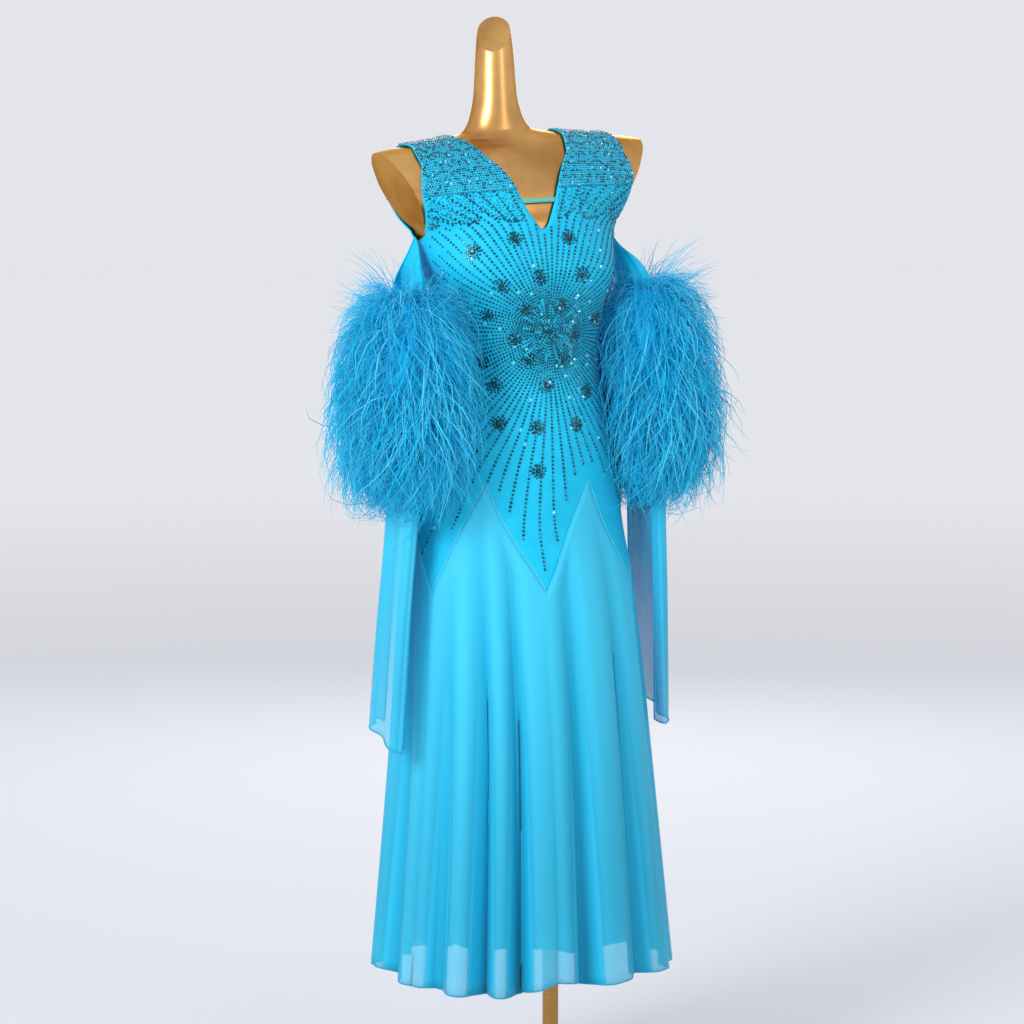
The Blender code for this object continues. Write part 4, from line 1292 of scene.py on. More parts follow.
def stand():
    """Round base with a hub, the pole, and the collar that carries the torso."""
    bore, hub_top, hub_floor, hub = POLE_RADIUS + POLE_FIT, 0.052, 0.006, 0.024
    base = turned_solid(
        "stand_base_plate",
        (
            (0.0, hub_floor), (bore, hub_floor), (bore, hub_top - 0.001), (bore + 0.001, hub_top),
            (hub - 0.003, hub_top), (hub - 0.0009, hub_top - 0.0009), (hub, hub_top - 0.003), (hub, 0.021),
            (hub + 0.0016, 0.0172), (hub + 0.008, 0.0135), (BASE_RADIUS - 0.006, BASE_EDGE + 0.0001),
            (BASE_RADIUS - 0.003, BASE_EDGE - 0.0004), (BASE_RADIUS - 0.0009, BASE_EDGE - 0.0018),
            (BASE_RADIUS, BASE_EDGE - 0.004), (BASE_RADIUS, 0.001), (BASE_RADIUS - 0.001, 0.0), (0.0, 0.0),
        ),
        material(brushed_brass),
        steps=128,
    )
    show(base, "stand_base", slot="brass")
    foot, top = 0.800, FORM_BOTTOM - SEAM
    collar = turned_solid(
        "stand_neck_collar",
        (
            (bore, top), (0.0335, top), (0.034, top - 0.0005), (0.034, top - 0.0055), (0.0335, top - 0.006),
            (0.022, top - 0.0085),
            (0.020, top - 0.011),
            (0.020, foot + 0.001),
            (0.019, foot),
            (bore, foot),
            (bore, top),
        ),
        material(brushed_brass),
    )
    show(collar, "stand_collar", slot="brass")
    pole = turned_solid(
        "stand_pole_tube",
        (
            (0.0, top - POLE_FIT),
            (POLE_RADIUS, top - POLE_FIT),
            (POLE_RADIUS, hub_floor + POLE_FIT),
            (0.0, hub_floor + POLE_FIT),
        ),
        material(brushed_brass),
        steps=64,
    )
    show(pole, "stand_pole", slot="brass")


# ---- Bodice --------------------------------------------------------------------------------------
SHARES = np.linspace(0, 1, BODICE_COLUMNS + 1)


def neckline(height, behind):
    """Half the opening of a neckline, from its point up to the chest line."""
    point, at_chest, curve = (
        (BACK_POINT, BACK_NECK_AT_CHEST, 1.0) if behind else (NECK_POINT, NECK_AT_CHEST, NECK_CURVE)
    )
    return at_chest * np.maximum(0.0, (height - point) / (CHEST_LINE - point)) ** curve


def armhole(height):
    """How far out the panels reach between the underarm and the chest line."""
    side = GOWN.at(UNDERARM).half_width * ARMHOLE_SCOOP
    return side + (ARMHOLE_AT_CHEST - side) * (height - UNDERARM) / (CHEST_LINE - UNDERARM)


def torso_grid(side, behind):
    """Half a panel, from the yoke's zigzag up to the underarm."""
    side_seam = math.pi / 2 - SEAM / 2 / GOWN.at(UNDERARM).front
    heights = np.linspace(YOKE_POINT, UNDERARM, TORSO_ROWS + 1)[:, None]
    climb = (heights - YOKE_POINT) / (UNDERARM - YOKE_POINT)
    opening = np.arcsin(neckline(heights, behind) / GOWN.at(heights).half_width)
    angle = opening + (side_seam - opening) * SHARES[None, :]
    level = yoke_line(SHARES[None, :] * math.pi / 2) * (1 - climb) + UNDERARM * climb
    return off_surface(body_surface, side * (math.pi - angle if behind else angle), level, EASE)


def chest_grid(side, behind):
    """Half a panel, between the underarm and the chest line."""
    heights = NECK_POINT + (CHEST_LINE - NECK_POINT) * np.linspace(
        0, 1, CHEST_ROWS, endpoint=False
    )[:, None] ** 1.3
    half_width = GOWN.at(heights).half_width
    inner, outer = neckline(heights, behind), armhole(heights)
    low, high = np.arcsin(inner / half_width), np.arcsin(outer / half_width)
    evenly = (heights - UNDERARM) / (CHEST_LINE - UNDERARM)
    round_body = half_width * np.sin(low + (high - low) * SHARES)
    across = round_body * (1 - evenly) + (inner + (outer - inner) * SHARES) * evenly
    angle = np.arcsin(across / half_width)
    level = np.broadcast_to(heights, angle.shape)
    return off_surface(body_surface, side * (math.pi - angle if behind else angle), level, EASE)


def shoulder_edges(turn, scallop=0.0):
    """How far from the centre a shoulder's inner and outer edges run, and the gap under it."""
    in_front = turn < math.pi / 2
    at_chest = np.where(in_front, NECK_AT_CHEST, BACK_NECK_AT_CHEST)
    at_shoulder = np.where(in_front, NECK_AT_SHOULDER, BACK_NECK_AT_SHOULDER)
    up = np.sin(turn)
    wave = scallop * np.abs(np.sin(SCALLOPS * turn))
    inner = at_chest + (at_shoulder - at_chest) * up - wave
    outer = ARMHOLE_AT_CHEST + (ARMHOLE_AT_SHOULDER - ARMHOLE_AT_CHEST) * up + wave
    return inner, outer, EASE + (SHOULDER_EASE - EASE) * up


def shoulder_grid(side, turns, off_gown=0.0, scallop=0.0):
    """Rows of points across a shoulder at the given turns."""
    turns = np.asarray(turns)[:, None]
    inner, outer, ease = shoulder_edges(turns, scallop)
    across = side * (inner + (outer - inner) * SHARES[None, :])
    return off_surface(
        over_shoulder, across, np.broadcast_to(turns, across.shape), (off_gown + ease)[..., None]
    )


def body_middle(height):
    section = GOWN.at(height)
    return np.array((float(section.centre_x), float(section.centre_y), height))


def panel(behind):
    """The whole front or back, from the yoke's zigzag to the shoulder seams, with its bound edges."""
    name = "back" if behind else "front"
    turns = np.linspace(0, math.pi / 2 - SHOULDER_SEAM, SHOULDER_ROWS + 1)
    turns = math.pi - turns if behind else turns
    halves, edges = [], []
    for side in (-1, 1):
        grid = np.concatenate(
            (torso_grid(side, behind), chest_grid(side, behind), shoulder_grid(side, turns))
        )
        halves.append(facing_out(grid, body_middle(YOKE_POINT)))
        opened = slice(np.argmax(grid[:, 0, 2] >= (BACK_POINT if behind else NECK_POINT) - 1e-4), None)
        edges += [grid[opened, 0], grid[TORSO_ROWS:, -1]]
    obj = cloth(f"bodice_{name}_panel", halves, CLOTH, material(crepe))
    trim = cords(f"{name}_bound_edges", edges, 0.0011, material(crepe))
    show(trim, slot="crepe")
    show(obj, f"bodice_{name}", slot="crepe")


def yoke_seams():
    """The seam that stands a little proud where the godets are set into the yoke."""
    angles = np.linspace(0, 2 * math.pi, 12 * 30 + 1)
    path = off_surface(body_surface, angles, yoke_line(angles) - YOKE_SEAM / 2, EASE + CLOTH * 0.8)
    path[-1] = path[0]
    seam = cords("yoke_seam", [path], 0.0009, material(seam_thread))
    show(seam, slot="crepe")


def seam_thread(look):
    """The pressed edge of the crepe along the yoke, painted as a lighter line: a painted highlight along the
    seam's ridge.
    """
    made, tree, shader = blank_material("pressed_crepe_edge")
    where = add_node(tree, "ShaderNodeTexCoord").outputs["Object"]
    specks = add_node(tree, "ShaderNodeTexNoise", {"Vector": where, "Scale": 300.0}).outputs["Fac"]
    # The pale colour is a painted highlight on the seam's ridge.
    tree.links.new(add_node(
        tree, "ShaderNodeValToRGB", {"Fac": specks},
        ((0.3, look.crepe), (0.7, "#5FDCF8")),
    ).outputs["Color"], shader.inputs["Base Color"])
    shader.inputs["Roughness"].default_value = 0.6
    return made


def straps():
    turns = np.linspace(0, math.pi, 4 * SHOULDER_ROWS + 1)
    for label, side in (("left", 1), ("right", -1)):
        grid = shoulder_grid(side, turns, CLOTH + STITCH_GAP, SCALLOP)
        grids = [facing_out(grid, body_middle(CHEST_LINE))]
        obj = cloth(f"shoulder_lace_{label}", grids, LACE, material(lace))
        trim = cords(f"lace_cord_{label}", [grid[:, 0], grid[:, -1]], 0.0010, material(lace))
        show(trim, slot="stoned_lace")
        show(obj, f"strap_{label}", slot="stoned_lace")


def neck_elastic():
    heights = ELASTIC_HEIGHT + np.array((-0.5, 0.5))[:, None] * ELASTIC_WIDTH
    share = np.linspace(-1, 1, 25)[None, :]
    angle = np.arcsin((neckline(heights, False) - 3 * SEAM) * share / GOWN.at(heights).half_width)
    grid = off_surface(body_surface, angle, np.broadcast_to(heights, angle.shape), EASE)
    grids = [facing_out(grid, body_middle(ELASTIC_HEIGHT))]
    obj = cloth("neck_elastic", grids, ELASTIC, material(elastic_cloth))
    show(obj, "neck_bar", slot="elastic")


# ---- Stones --------------------------------------------------------------------------------------
def bodice_spots(angle, height):
    """Points and normals on the outside of the bodice."""
    along_u, along_v = tangents(body_surface, angle, height)
    normal = unit(np.cross(along_u, along_v))
    return body_surface(angle, height) + normal * (EASE + CLOTH), normal


def walk(angle, height, bearing, distance):
    """One short step over the bodice on a bearing from the wearer's left, turning up."""
    along_u, along_v = tangents(body_surface, angle, height)
    angle = angle + np.cos(bearing) * distance / np.linalg.norm(along_u, axis=-1)
    height = height + np.sin(bearing) * distance / np.linalg.norm(along_v, axis=-1)
    return angle, height


def on_front(angle, height, margin=0.003):
    """Whether places lie on the front panel, inside its edges."""
    half_width = np.interp(height, GOWN.knots, GOWN.columns[0])
    across = np.abs(half_width * np.sin(angle))
    good = (np.abs(angle) < math.radians(87)) & (height < CHEST_LINE) & (height > yoke_line(angle) + margin)
    good &= (height < NECK_POINT - margin) | (across > neckline(height, False) + margin)
    return good & ((height < UNDERARM) | (across < armhole(height) - margin))


def burst(settings, chance):
    """The rows that spread from one middle over the front."""
    bearings = math.radians(270) + 2 * math.pi * np.arange(settings.rows) / settings.rows
    number = np.arange(settings.rows)
    first = np.where(number % 2 == 1, 0.042, np.where(number % 4 == 2, 0.020, 0.010))
    first = first * chance.uniform(0.55, 1.25, settings.rows)
    ends = np.array(ROW_ENDS, float)
    degrees = np.degrees(bearings) % 360
    last = np.where(degrees < 180, 0.5, np.interp(degrees, ends[:, 0], ends[:, 1]))
    angle, height, gone = np.zeros(settings.rows), np.full(
        settings.rows, BURST_HEIGHT
    ), np.zeros(settings.rows)
    started = chance.uniform(0.0, settings.near_pitch, settings.rows)
    angle, height = walk(angle, height, bearings, started)
    gone = gone + started
    rows = []
    walking = np.ones(settings.rows, bool)
    while walking.any():
        far = np.clip(gone / 0.25, 0, 1)
        pitch = settings.near_pitch + (settings.far_pitch - settings.near_pitch) * far
        angle, height = walk(angle, height, bearings, pitch)
        gone = gone + pitch
        walking &= (gone < last) & on_front(angle, height)
        keep = walking & (gone >= first)
        rows.append(np.stack((angle, height, gone, bearings), -1)[keep])
        if gone.max() > 0.6:
            break
    rows = np.concatenate(rows)
    # Towards the wearer's right side the stones get small and thin out.
    aside = np.clip((-np.degrees(rows[:, 0]) - 42) / 40, 0, 1)
    kept = chance.random(len(rows)) > 0.5 * aside
    rows, aside = rows[kept], aside[kept]
    far = np.clip(rows[:, 2] / 0.25, 0, 1)
    across = (settings.near_size + (settings.far_size - settings.near_size) * far) * (1 - 0.35 * aside)
    return rows[:, 0], rows[:, 1], across * chance.uniform(0.9, 1.08, len(rows))


def cluster_places():
    """Angle and height of each cluster's middle."""
    bearing = np.radians([rosette.bearing for rosette in ROSETTES])
    distance = np.array([rosette.distance for rosette in ROSETTES])
    angle, height = np.zeros(len(ROSETTES)), np.full(len(ROSETTES), BURST_HEIGHT)
    steps = 40
    for _ in range(steps):
        angle, height = walk(angle, height, bearing, distance / steps)
    return angle, height


def clusters(settings, chance):
    """A large stone with a ring of small ones, at each cluster's place."""
    angle, height = cluster_places()
    angles, heights, sizes, shades = [angle], [height], [
        np.full(len(angle), settings.cluster_size)
    ], [np.full(len(angle), 0.1)]
    for count, radius, across in ((9, 0.0070, 0.0044), (14, 0.0106, 0.0034)):
        for k in range(count):
            bearing = 2 * math.pi * k / count + chance.uniform(-0.1, 0.1, len(angle))
            a, h = walk(angle, height, bearing, radius * chance.uniform(0.92, 1.08, len(angle)))
            angles.append(a)
            heights.append(h)
            sizes.append(np.full(len(a), across))
            # Most ring stones are dark and a few lighter; a few are painted near white as painted glints.
            shades.append(chance.choice((0.0, 0.3, 0.7, 1.0), len(a), p=(0.60, 0.32, 0.06, 0.02)))
    return (np.concatenate(values) for values in (angles, heights, sizes, shades))


def petal_edge(angle):
    """Height of the lace's scalloped lower edge, and how near each angle is to the middle of a petal."""
    across = np.abs(np.sin(PETALS * angle + PETAL_START))
    return PETAL_TOP - PETAL_DEPTH * across**0.6, across


def thinning(settings, chance):
    """Stones on the lace below the shoulders, down to its petal edge."""
    count = 6000
    angle = chance.uniform(-math.radians(86), math.radians(86), count)
    height = chance.uniform(1.360, CHEST_LINE, count)
    petals, _ = petal_edge(angle)
    dense = ramp(height, petals - 0.002, petals)
    good = on_front(angle, height, 0.0025) & (chance.random(count) < dense)
    good &= np.abs(np.sin(angle)) * 0.2 > 0.03
    angle, height = apart(angle[good], height[good], 0.0034)
    petals, across = petal_edge(angle)
    return angle, height, (height - petals < 0.005) | (across < 0.12)


def apart(angle, height, gap):
    """Drops places that come closer to an earlier one than the gap."""
    spots = body_surface(angle, height)
    kept = []
    for i, spot in enumerate(spots):
        if not kept or np.min(np.sum((spots[kept] - spot) ** 2, axis=1)) > gap * gap:
            kept.append(i)
    return angle[kept], height[kept]


def lace_spots(settings, side, chance):
    """Close rows of stones over the shoulder lace, up to its scalloped edges."""
    spots, normals, sizes, shades = [], [], [], []
    pitch = settings.lace_pitch
    steps = np.linspace(0.012, math.pi - 0.012, 240)
    middle = over_shoulder(np.full(240, side * 0.12), steps)
    along = lengths(middle[:, None, :], 0)[:, 0]
    count = int(along[-1] / (pitch * 0.9))
    turns = np.interp(np.linspace(0, along[-1], count), along, steps)
    for number, turn in enumerate(turns):
        inner, outer, ease = (float(value) for value in shoulder_edges(turn, SCALLOP))
        wide = int((outer - inner) / pitch)
        share = (np.arange(wide) + (0.75 if number % 2 else 0.25)) / wide
        across = inner + (outer - inner) * np.clip(
            share + chance.uniform(-0.16, 0.16, wide) / wide, 0.008, 0.992
        )
        u, v = side * across, turn + chance.uniform(-0.006, 0.006, wide)
        along_u, along_v = tangents(over_shoulder, u, v)
        normal = unit(np.cross(along_u, along_v))
        lift = ease + CLOTH + STITCH_GAP + LACE
        spots.append(over_shoulder(u, v) + normal * lift)
        normals.append(normal)
        fan = fan_share(across, along[-1] * number / count, side)
        dark = fan > 0.72
        sizes.append(pitch * np.where(dark, 0.98, 0.68) * chance.uniform(0.92, 1.05, wide))
        tone_and_glint = chance.random(wide)
        shades.append(np.where(dark, 0.20 * tone_and_glint, 0.28 + 0.38 * tone_and_glint))
        # A few stones are painted near white: painted glints.
        shades[-1][tone_and_glint > 0.980] = 1.0
    return (np.concatenate(values) for values in (spots, normals, sizes, shades))


def fan_share(across, along, side):
    """Overlapping fans like fish scales: 1 on a fan's rim and on its ribs, 0 between them."""
    wide, tall = 0.028, 0.019
    best = np.zeros(len(across))
    taken = np.zeros(len(across), bool)
    for row in range(-1, 3):
        level = (math.floor(along / tall) - row) * tall
        offset = wide / 2 * ((math.floor(along / tall) - row) % 2)
        x = (across + offset) % wide - wide / 2
        r = np.hypot(x, along - level + 0.0001) / (wide * 0.62)
        inside = (r < 1) & ~taken & (along >= level)
        rib = np.abs(np.sin(3.5 * np.arctan2(x, along - level + 1e-6)))
        best[inside] = np.where((r > 0.84) | (rib > 0.96), 1.0, 0.45)[inside]
        taken |= inside
    return best


def keyhole_spots(chance):
    """A drop-shaped ornament at the side of the bust, outlined in stones."""
    t = np.linspace(0, 2 * math.pi, 22, endpoint=False)
    x, y = 0.0085 * np.sin(t) * np.sin(t / 2) ** 1.2, 0.020 * np.cos(t)
    angle0, height0 = math.radians(-66), 1.292
    radius = float(GOWN.at(height0).half_width)
    angle, height = angle0 + x / radius, height0 + y
    # A third of these stones are painted near white: painted glints.
    return angle, height, np.full(len(t), 0.0032), chance.choice((0.05, 0.5, 1.0), len(t))


def bodice_stones(settings):
    chance = np.random.default_rng(11)
    tree = stone_tree(material(crystal))
    angle, height, size = burst(settings, chance)
    extra_angle, extra_height, rim = thinning(settings, chance)
    angle, height = np.concatenate((angle, extra_angle)), np.concatenate((height, extra_height))
    size = np.concatenate((size, np.where(rim, 0.0036, 0.0026) * chance.uniform(0.94, 1.06, len(rim))))
    # Rows stop where a cluster sits.
    middles = body_surface(*cluster_places())
    spots, normals = bodice_spots(angle, height)
    clear = np.min(np.linalg.norm(spots[:, None] - middles[None], axis=2), axis=1) > 0.0118
    tone_and_glint = chance.random(len(angle))
    # A few stones are painted near white: painted glints; the rest get a random tone.
    shade = np.where(tone_and_glint > 0.985, 1.0, tone_and_glint * 0.66)
    shade[-len(rim):] = np.where(rim, 0.20 * tone_and_glint[-len(rim):], 0.28 + 0.38 * tone_and_glint[-len(rim):])
    rows = bake(
        "burst_stones", tree, (spots + normals * size[:, None] * 0.02)[clear], normals[clear], size[clear],
        chance.uniform(0, 0.8, clear.sum()), shade[clear],
    )
    show(rows, slot="stoned_lace")
    angle, height, size, shade = clusters(settings, chance)
    good = on_front(angle, height, 0.001)
    spots, normals = bodice_spots(angle[good], height[good])
    made = bake(
        "cluster_stones",
        tree,
        spots,
        normals,
        size[good],
        chance.uniform(0, 0.8, good.sum()),
        shade[good],
        facets=10,
    )
    show(made, slot="stoned_lace")
    angle, height, size, shade = keyhole_spots(chance)
    spots, normals = bodice_spots(angle, height)
    drop = bake("side_drop_stones", tree, spots, normals, size, np.zeros(len(angle)), shade)
    show(drop, slot="stoned_lace")
    for label, side in (("left", 1), ("right", -1)):
        spots, normals, size, shade = lace_spots(settings, side, chance)
        made = bake(
            f"lace_stones_{label}",
            tree,
            spots,
            normals,
            size,
            chance.uniform(0, 0.8, len(size)),
            shade,
            facets=7,
        )
        show(made, slot="stoned_lace")


# ---- Skirt ---------------------------------------------------------------------------------------
def godets():
    """The outer skirt: six pointed godets of chiffon sewn into one folded sheet, and its rolled hem."""
    angles = np.linspace(0, 2 * math.pi, YOKE_POINTS * GORE_COLUMNS, endpoint=False)[None, :]
    climb = np.linspace(0, 1, GORE_ROWS + 1)[:, None]
    heights = hem_line(angles) * (1 - climb) + (yoke_line(angles) - YOKE_SEAM) * climb
    angles = np.broadcast_to(angles, heights.shape)
    grid = off_surface(skirt_surface, angles, heights, EASE)
    grids = [closed(facing_out(grid, body_middle(YOKE_POINT)))]
    obj = cloth("godet_skirt", grids, CLOTH, material(chiffon))
    mark_troughs(obj, grid, fold_depth(angles + twist(heights), heights) / DEEPEST_TROUGH)
    hem = cords("godet_hem", [closed(grid)[0]], 0.0013, material(rolled_hem))
    show(hem, slot="chiffon")
    show(obj, *(f"skirt_gore_{number + 1}" for number in range(YOKE_POINTS)), slot="chiffon")


def mark_troughs(obj, grid, depths):
    """Keeps how deep each point lies in its trough, for the painted shade in the troughs and the chiffon's
    cover.
    """
    tree = KDTree(grid.shape[0] * grid.shape[1])
    for i, spot in enumerate(grid.reshape(-1, 3)):
        tree.insert(spot, i)
    tree.balance()
    depths = depths.ravel()
    values = [depths[tree.find(vertex.co)[1]] for vertex in obj.data.vertices]
    obj.data.attributes.new("trough", "FLOAT", "POINT").data.foreach_set("value", values)


def rolled_hem(look):
    """Chiffon rolled on itself and stitched: several layers thick, so the skirt's darkest, closed line."""
    made, tree, shader = blank_material("rolled_chiffon_hem")
    where = add_node(tree, "ShaderNodeTexCoord").outputs["Object"]
    specks = add_node(tree, "ShaderNodeTexNoise", {"Vector": where, "Scale": 260.0}).outputs["Fac"]
    tree.links.new(add_node(
        tree, "ShaderNodeValToRGB", {"Fac": specks},
        ((0.3, "#12A6D4"), (0.7, "#2ABCE4")),
    ).outputs["Color"], shader.inputs["Base Color"])
    shader.inputs["Roughness"].default_value = 0.6
    return made


def lining():
    """The opaque skirt under the chiffon: four gores sewn into one sheet."""
    angles = np.linspace(0, 2 * math.pi, 4 * LINING_COLUMNS, endpoint=False)[None, :]
    hem = LINING_HEM - 0.009 * (1 - np.cos(2 * angles + 1.9)) - 0.004 * np.sin(7 * angles)
    heights = hem + (LINING_TOP - hem) * np.linspace(0, 1, LINING_ROWS + 1)[:, None]
    angles = np.broadcast_to(angles, heights.shape)
    grid = off_surface(lining_surface, angles, heights, LINING_EASE)
    grids = [closed(facing_out(grid, body_middle(YOKE_POINT)))]
    obj = cloth("lining_skirt", grids, LINING_CLOTH, material(lining_cloth))
    show(obj, *(f"lining_gore_{number + 1}" for number in range(4)), slot="lining")


# ---- Sleeves, floats and feathers ----------------------------------------------------------------
def arm_middle(height):
    """The gown's centre line beside which the sleeves hang."""
    return GOWN.at(np.maximum(height, SLEEVE_HANGS_FROM)).centre_x


def lifted(side, height):
    """A height on a sleeve, raised where it hangs on the left."""
    return height + (LEFT_LIFT * (1 - ramp(height, LIFT_FROM, UNDERARM)) if side > 0 else 0.0)


def band_point(side, angle, height, distance=0.0):
    """Points of a sleeve band. The angle starts towards the body and turns forward."""
    band = SLEEVE.at(height)
    middle, across = (band.inner + band.outer) / 2, (band.outer - band.inner) / 2
    x = middle - (across + distance) * np.cos(angle)
    y = band.middle_y - (band.reach + distance) * np.sin(angle)
    return points(arm_middle(height) + side * x, y, lifted(side, height))


def float_point(side, angle, height, distance=0.0):
    """Points of a float below its sleeve band."""
    fold = FLOAT.at(height)
    inward, back = 0.0, 0.0
    if side > 0:
        drop = (SLEEVE_BANDS[0].height - height) / (SLEEVE_BANDS[0].height - FLOAT_FRONT_HEM)
        inward, back = (drift * drop for drift in LEFT_FLOAT_DRIFT)
    x = fold.middle + inward - (fold.across + distance) * np.cos(angle)
    y = FLOAT_MIDDLE_Y + back - (fold.along + distance) * np.sin(angle)
    return points(arm_middle(height) + side * x, y, lifted(side, height))


def arm_core(side):
    band = SLEEVE_BANDS[0]
    return np.array(
        (float(arm_middle(band.height)) + side * (band.inner + band.outer) / 2, band.middle_y, band.height)
    )


def sleeves():
    """Cold-shoulder sleeve bands with a slanting upper edge, drawn up in small gathers."""
    foot = SLEEVE_BANDS[0].height
    for label, side in (("left", 1), ("right", -1)):
        angles = np.linspace(0, 2 * math.pi, SLEEVE_COLUMNS, endpoint=False)[None, :]
        rim = SLEEVE_RIM_LOW + (UNDERARM - SLEEVE_RIM_LOW) * (1 + np.cos(angles)) / 2
        climb = np.linspace(0, 1, SLEEVE_ROWS + 1)[:, None]
        heights = foot + (rim - foot) * climb
        gathers = 0.0016 * np.sin(9 * angles + 2 * np.sin(2 * angles)) * (1 - ramp(climb, 0.86, 1.0))
        gathers = gathers + 0.0012 * np.sin(5 * angles + 14 * climb) * ramp(climb, 0.5, 0.8) * (
            1 - ramp(climb, 0.9, 1.0)
        )
        grid = closed(band_point(side, np.broadcast_to(angles, heights.shape), heights, gathers * 0.8))
        grids = [facing_out(grid, arm_core(side))]
        obj = cloth(f"sleeve_band_{label}", grids, CLOTH, material(crepe))
        trim = cords(f"sleeve_rim_{label}", [grid[-1]], 0.0012, material(crepe))
        show(trim, slot="crepe")
        show(obj, f"sleeve_{label}", slot="crepe")


def floats():
    """Chiffon floats that hang in soft pipes from the sleeve bands."""
    top = FLOAT_SECTIONS[-1].height
    for label, side in (("left", 1), ("right", -1)):
        angles = np.linspace(FLOAT_OPENING, 2 * math.pi - FLOAT_OPENING, FLOAT_COLUMNS + 1)[None, :]
        hem = FLOAT_BACK_HEM + (FLOAT_FRONT_HEM - FLOAT_BACK_HEM) * (1 + np.sin(angles)) / 2
        climb = np.linspace(0, 1, FLOAT_ROWS + 1)[:, None]
        heights = hem + (top - hem) * climb
        pipes = 0.0062 * np.sin(4 * angles + 1.2 * np.sin(angles * 2) + 0.8 * side) * (1 - 0.6 * climb)
        pipes = pipes + 0.0018 * np.sin(9 * angles + 3 * climb) * (1 - 0.5 * climb)
        grid = float_point(side, np.broadcast_to(angles, heights.shape), heights, pipes)
        grids = [facing_out(grid, arm_core(side))]
        obj = cloth(f"chiffon_float_{label}", grids, CLOTH, material(float_chiffon))
        edge = np.concatenate((grid[::-1, 0], grid[0, 1:-1], grid[:, -1]))
        trim = cords(f"float_hem_{label}", [edge], 0.0012, material(rolled_hem))
        show(trim, slot="chiffon")
        show(obj, f"float_{label}", slot="chiffon")


def float_chiffon(look):
    """The same chiffon in a single layer, clearer than in the skirt."""
    return chiffon(look, "single_layer_chiffon", 0.46, 0.76, 0.30)


def clear_of_body(spots, distance):
    """The points, moved away from the gown's centre line until they are a distance off the bodice."""
    height = spots[..., 2]
    section = GOWN.at(height)
    x, y = spots[..., 0] - section.centre_x, spots[..., 1] - section.centre_y
    angle = np.arctan2(x / section.half_width, -y / np.where(y < 0, section.front, section.back))
    surface = figure(GOWN, angle, height)
    reach = np.hypot(surface[..., 0] - section.centre_x, surface[..., 1] - section.centre_y)
    away = np.hypot(x, y)
    stretch = np.maximum(1.0, (reach + EASE + CLOTH + distance) / away)
    return points(section.centre_x + x * stretch, section.centre_y + y * stretch, height)


def puff_point(side, angle, height):
    """Points on the outside of a cuff's feathers."""
    reach = FEATHERS.at(height)
    x = FEATHER_MIDDLE - reach.across * np.cos(angle)
    y = FEATHER_MIDDLE_Y - reach.along * np.sin(angle)
    return clear_of_body(points(arm_middle(height) + side * x, y, lifted(side, height)), FEATHER_CLEAR)


def cuff_core(label, side):
    """A shell under the barbs that stands for their dense inside, so that the cuff isn't seen through; it is
    painted dark, as painted shade.
    """
    heights = np.linspace(0.990, 1.262, 22)[:, None]
    angles = np.linspace(0, 2 * math.pi, 48, endpoint=False)[None, :]
    angles, heights = np.broadcast_arrays(angles, heights)
    outside, inside = puff_point(side, angles, heights), band_point(side, angles, heights, 0.004)
    belly = np.sin(math.pi * (heights - 0.975) / 0.305)[..., None] ** 0.5
    lumps = 0.5 + 0.06 * np.sin(5 * angles + 40 * heights)[..., None]
    ring = np.concatenate((inside + (outside - inside) * lumps * belly, inside[::-1]))
    ring = np.concatenate((ring, ring[:1]))
    mesh = sheet_mesh(f"cuff_down_{label}", [closed(ring)])
    bm = bmesh.new()
    bm.from_mesh(mesh)
    bmesh.ops.recalc_face_normals(bm, faces=bm.faces)
    bm.to_mesh(mesh)
    bm.free()
    # The shell gets a dark tone: painted shade for the plume's deep inside.
    for layer, value in (("along", 0.0), ("shade", 0.15)):
        mesh.attributes.new(layer, "FLOAT", "POINT").data.foreach_set(
            "value", np.full(len(mesh.vertices), value)
        )
    core = link(f"cuff_down_{label}", mesh, material(plume))
    show(core, f"feathers_{label}", slot="feather")


# A cuff's barbs leave the band in two tiers: between two heights, at a slope that falls with the height.
Tier = namedtuple("Tier", "name low high slope_low slope_high")
TIERS = (Tier("lower", 1.010, 1.140, -30, 0), Tier("upper", 1.125, 1.268, 0, 55))


# How far a loose barb may reach past the whole CAD model, to each side and to the front and back.
PAST_SIDES, PAST_FRONT = 0.025, 0.018
BARB_BOX = np.array(CAD_BOX, float) + np.outer((-1, 1), (PAST_SIDES, PAST_FRONT, 0.0))


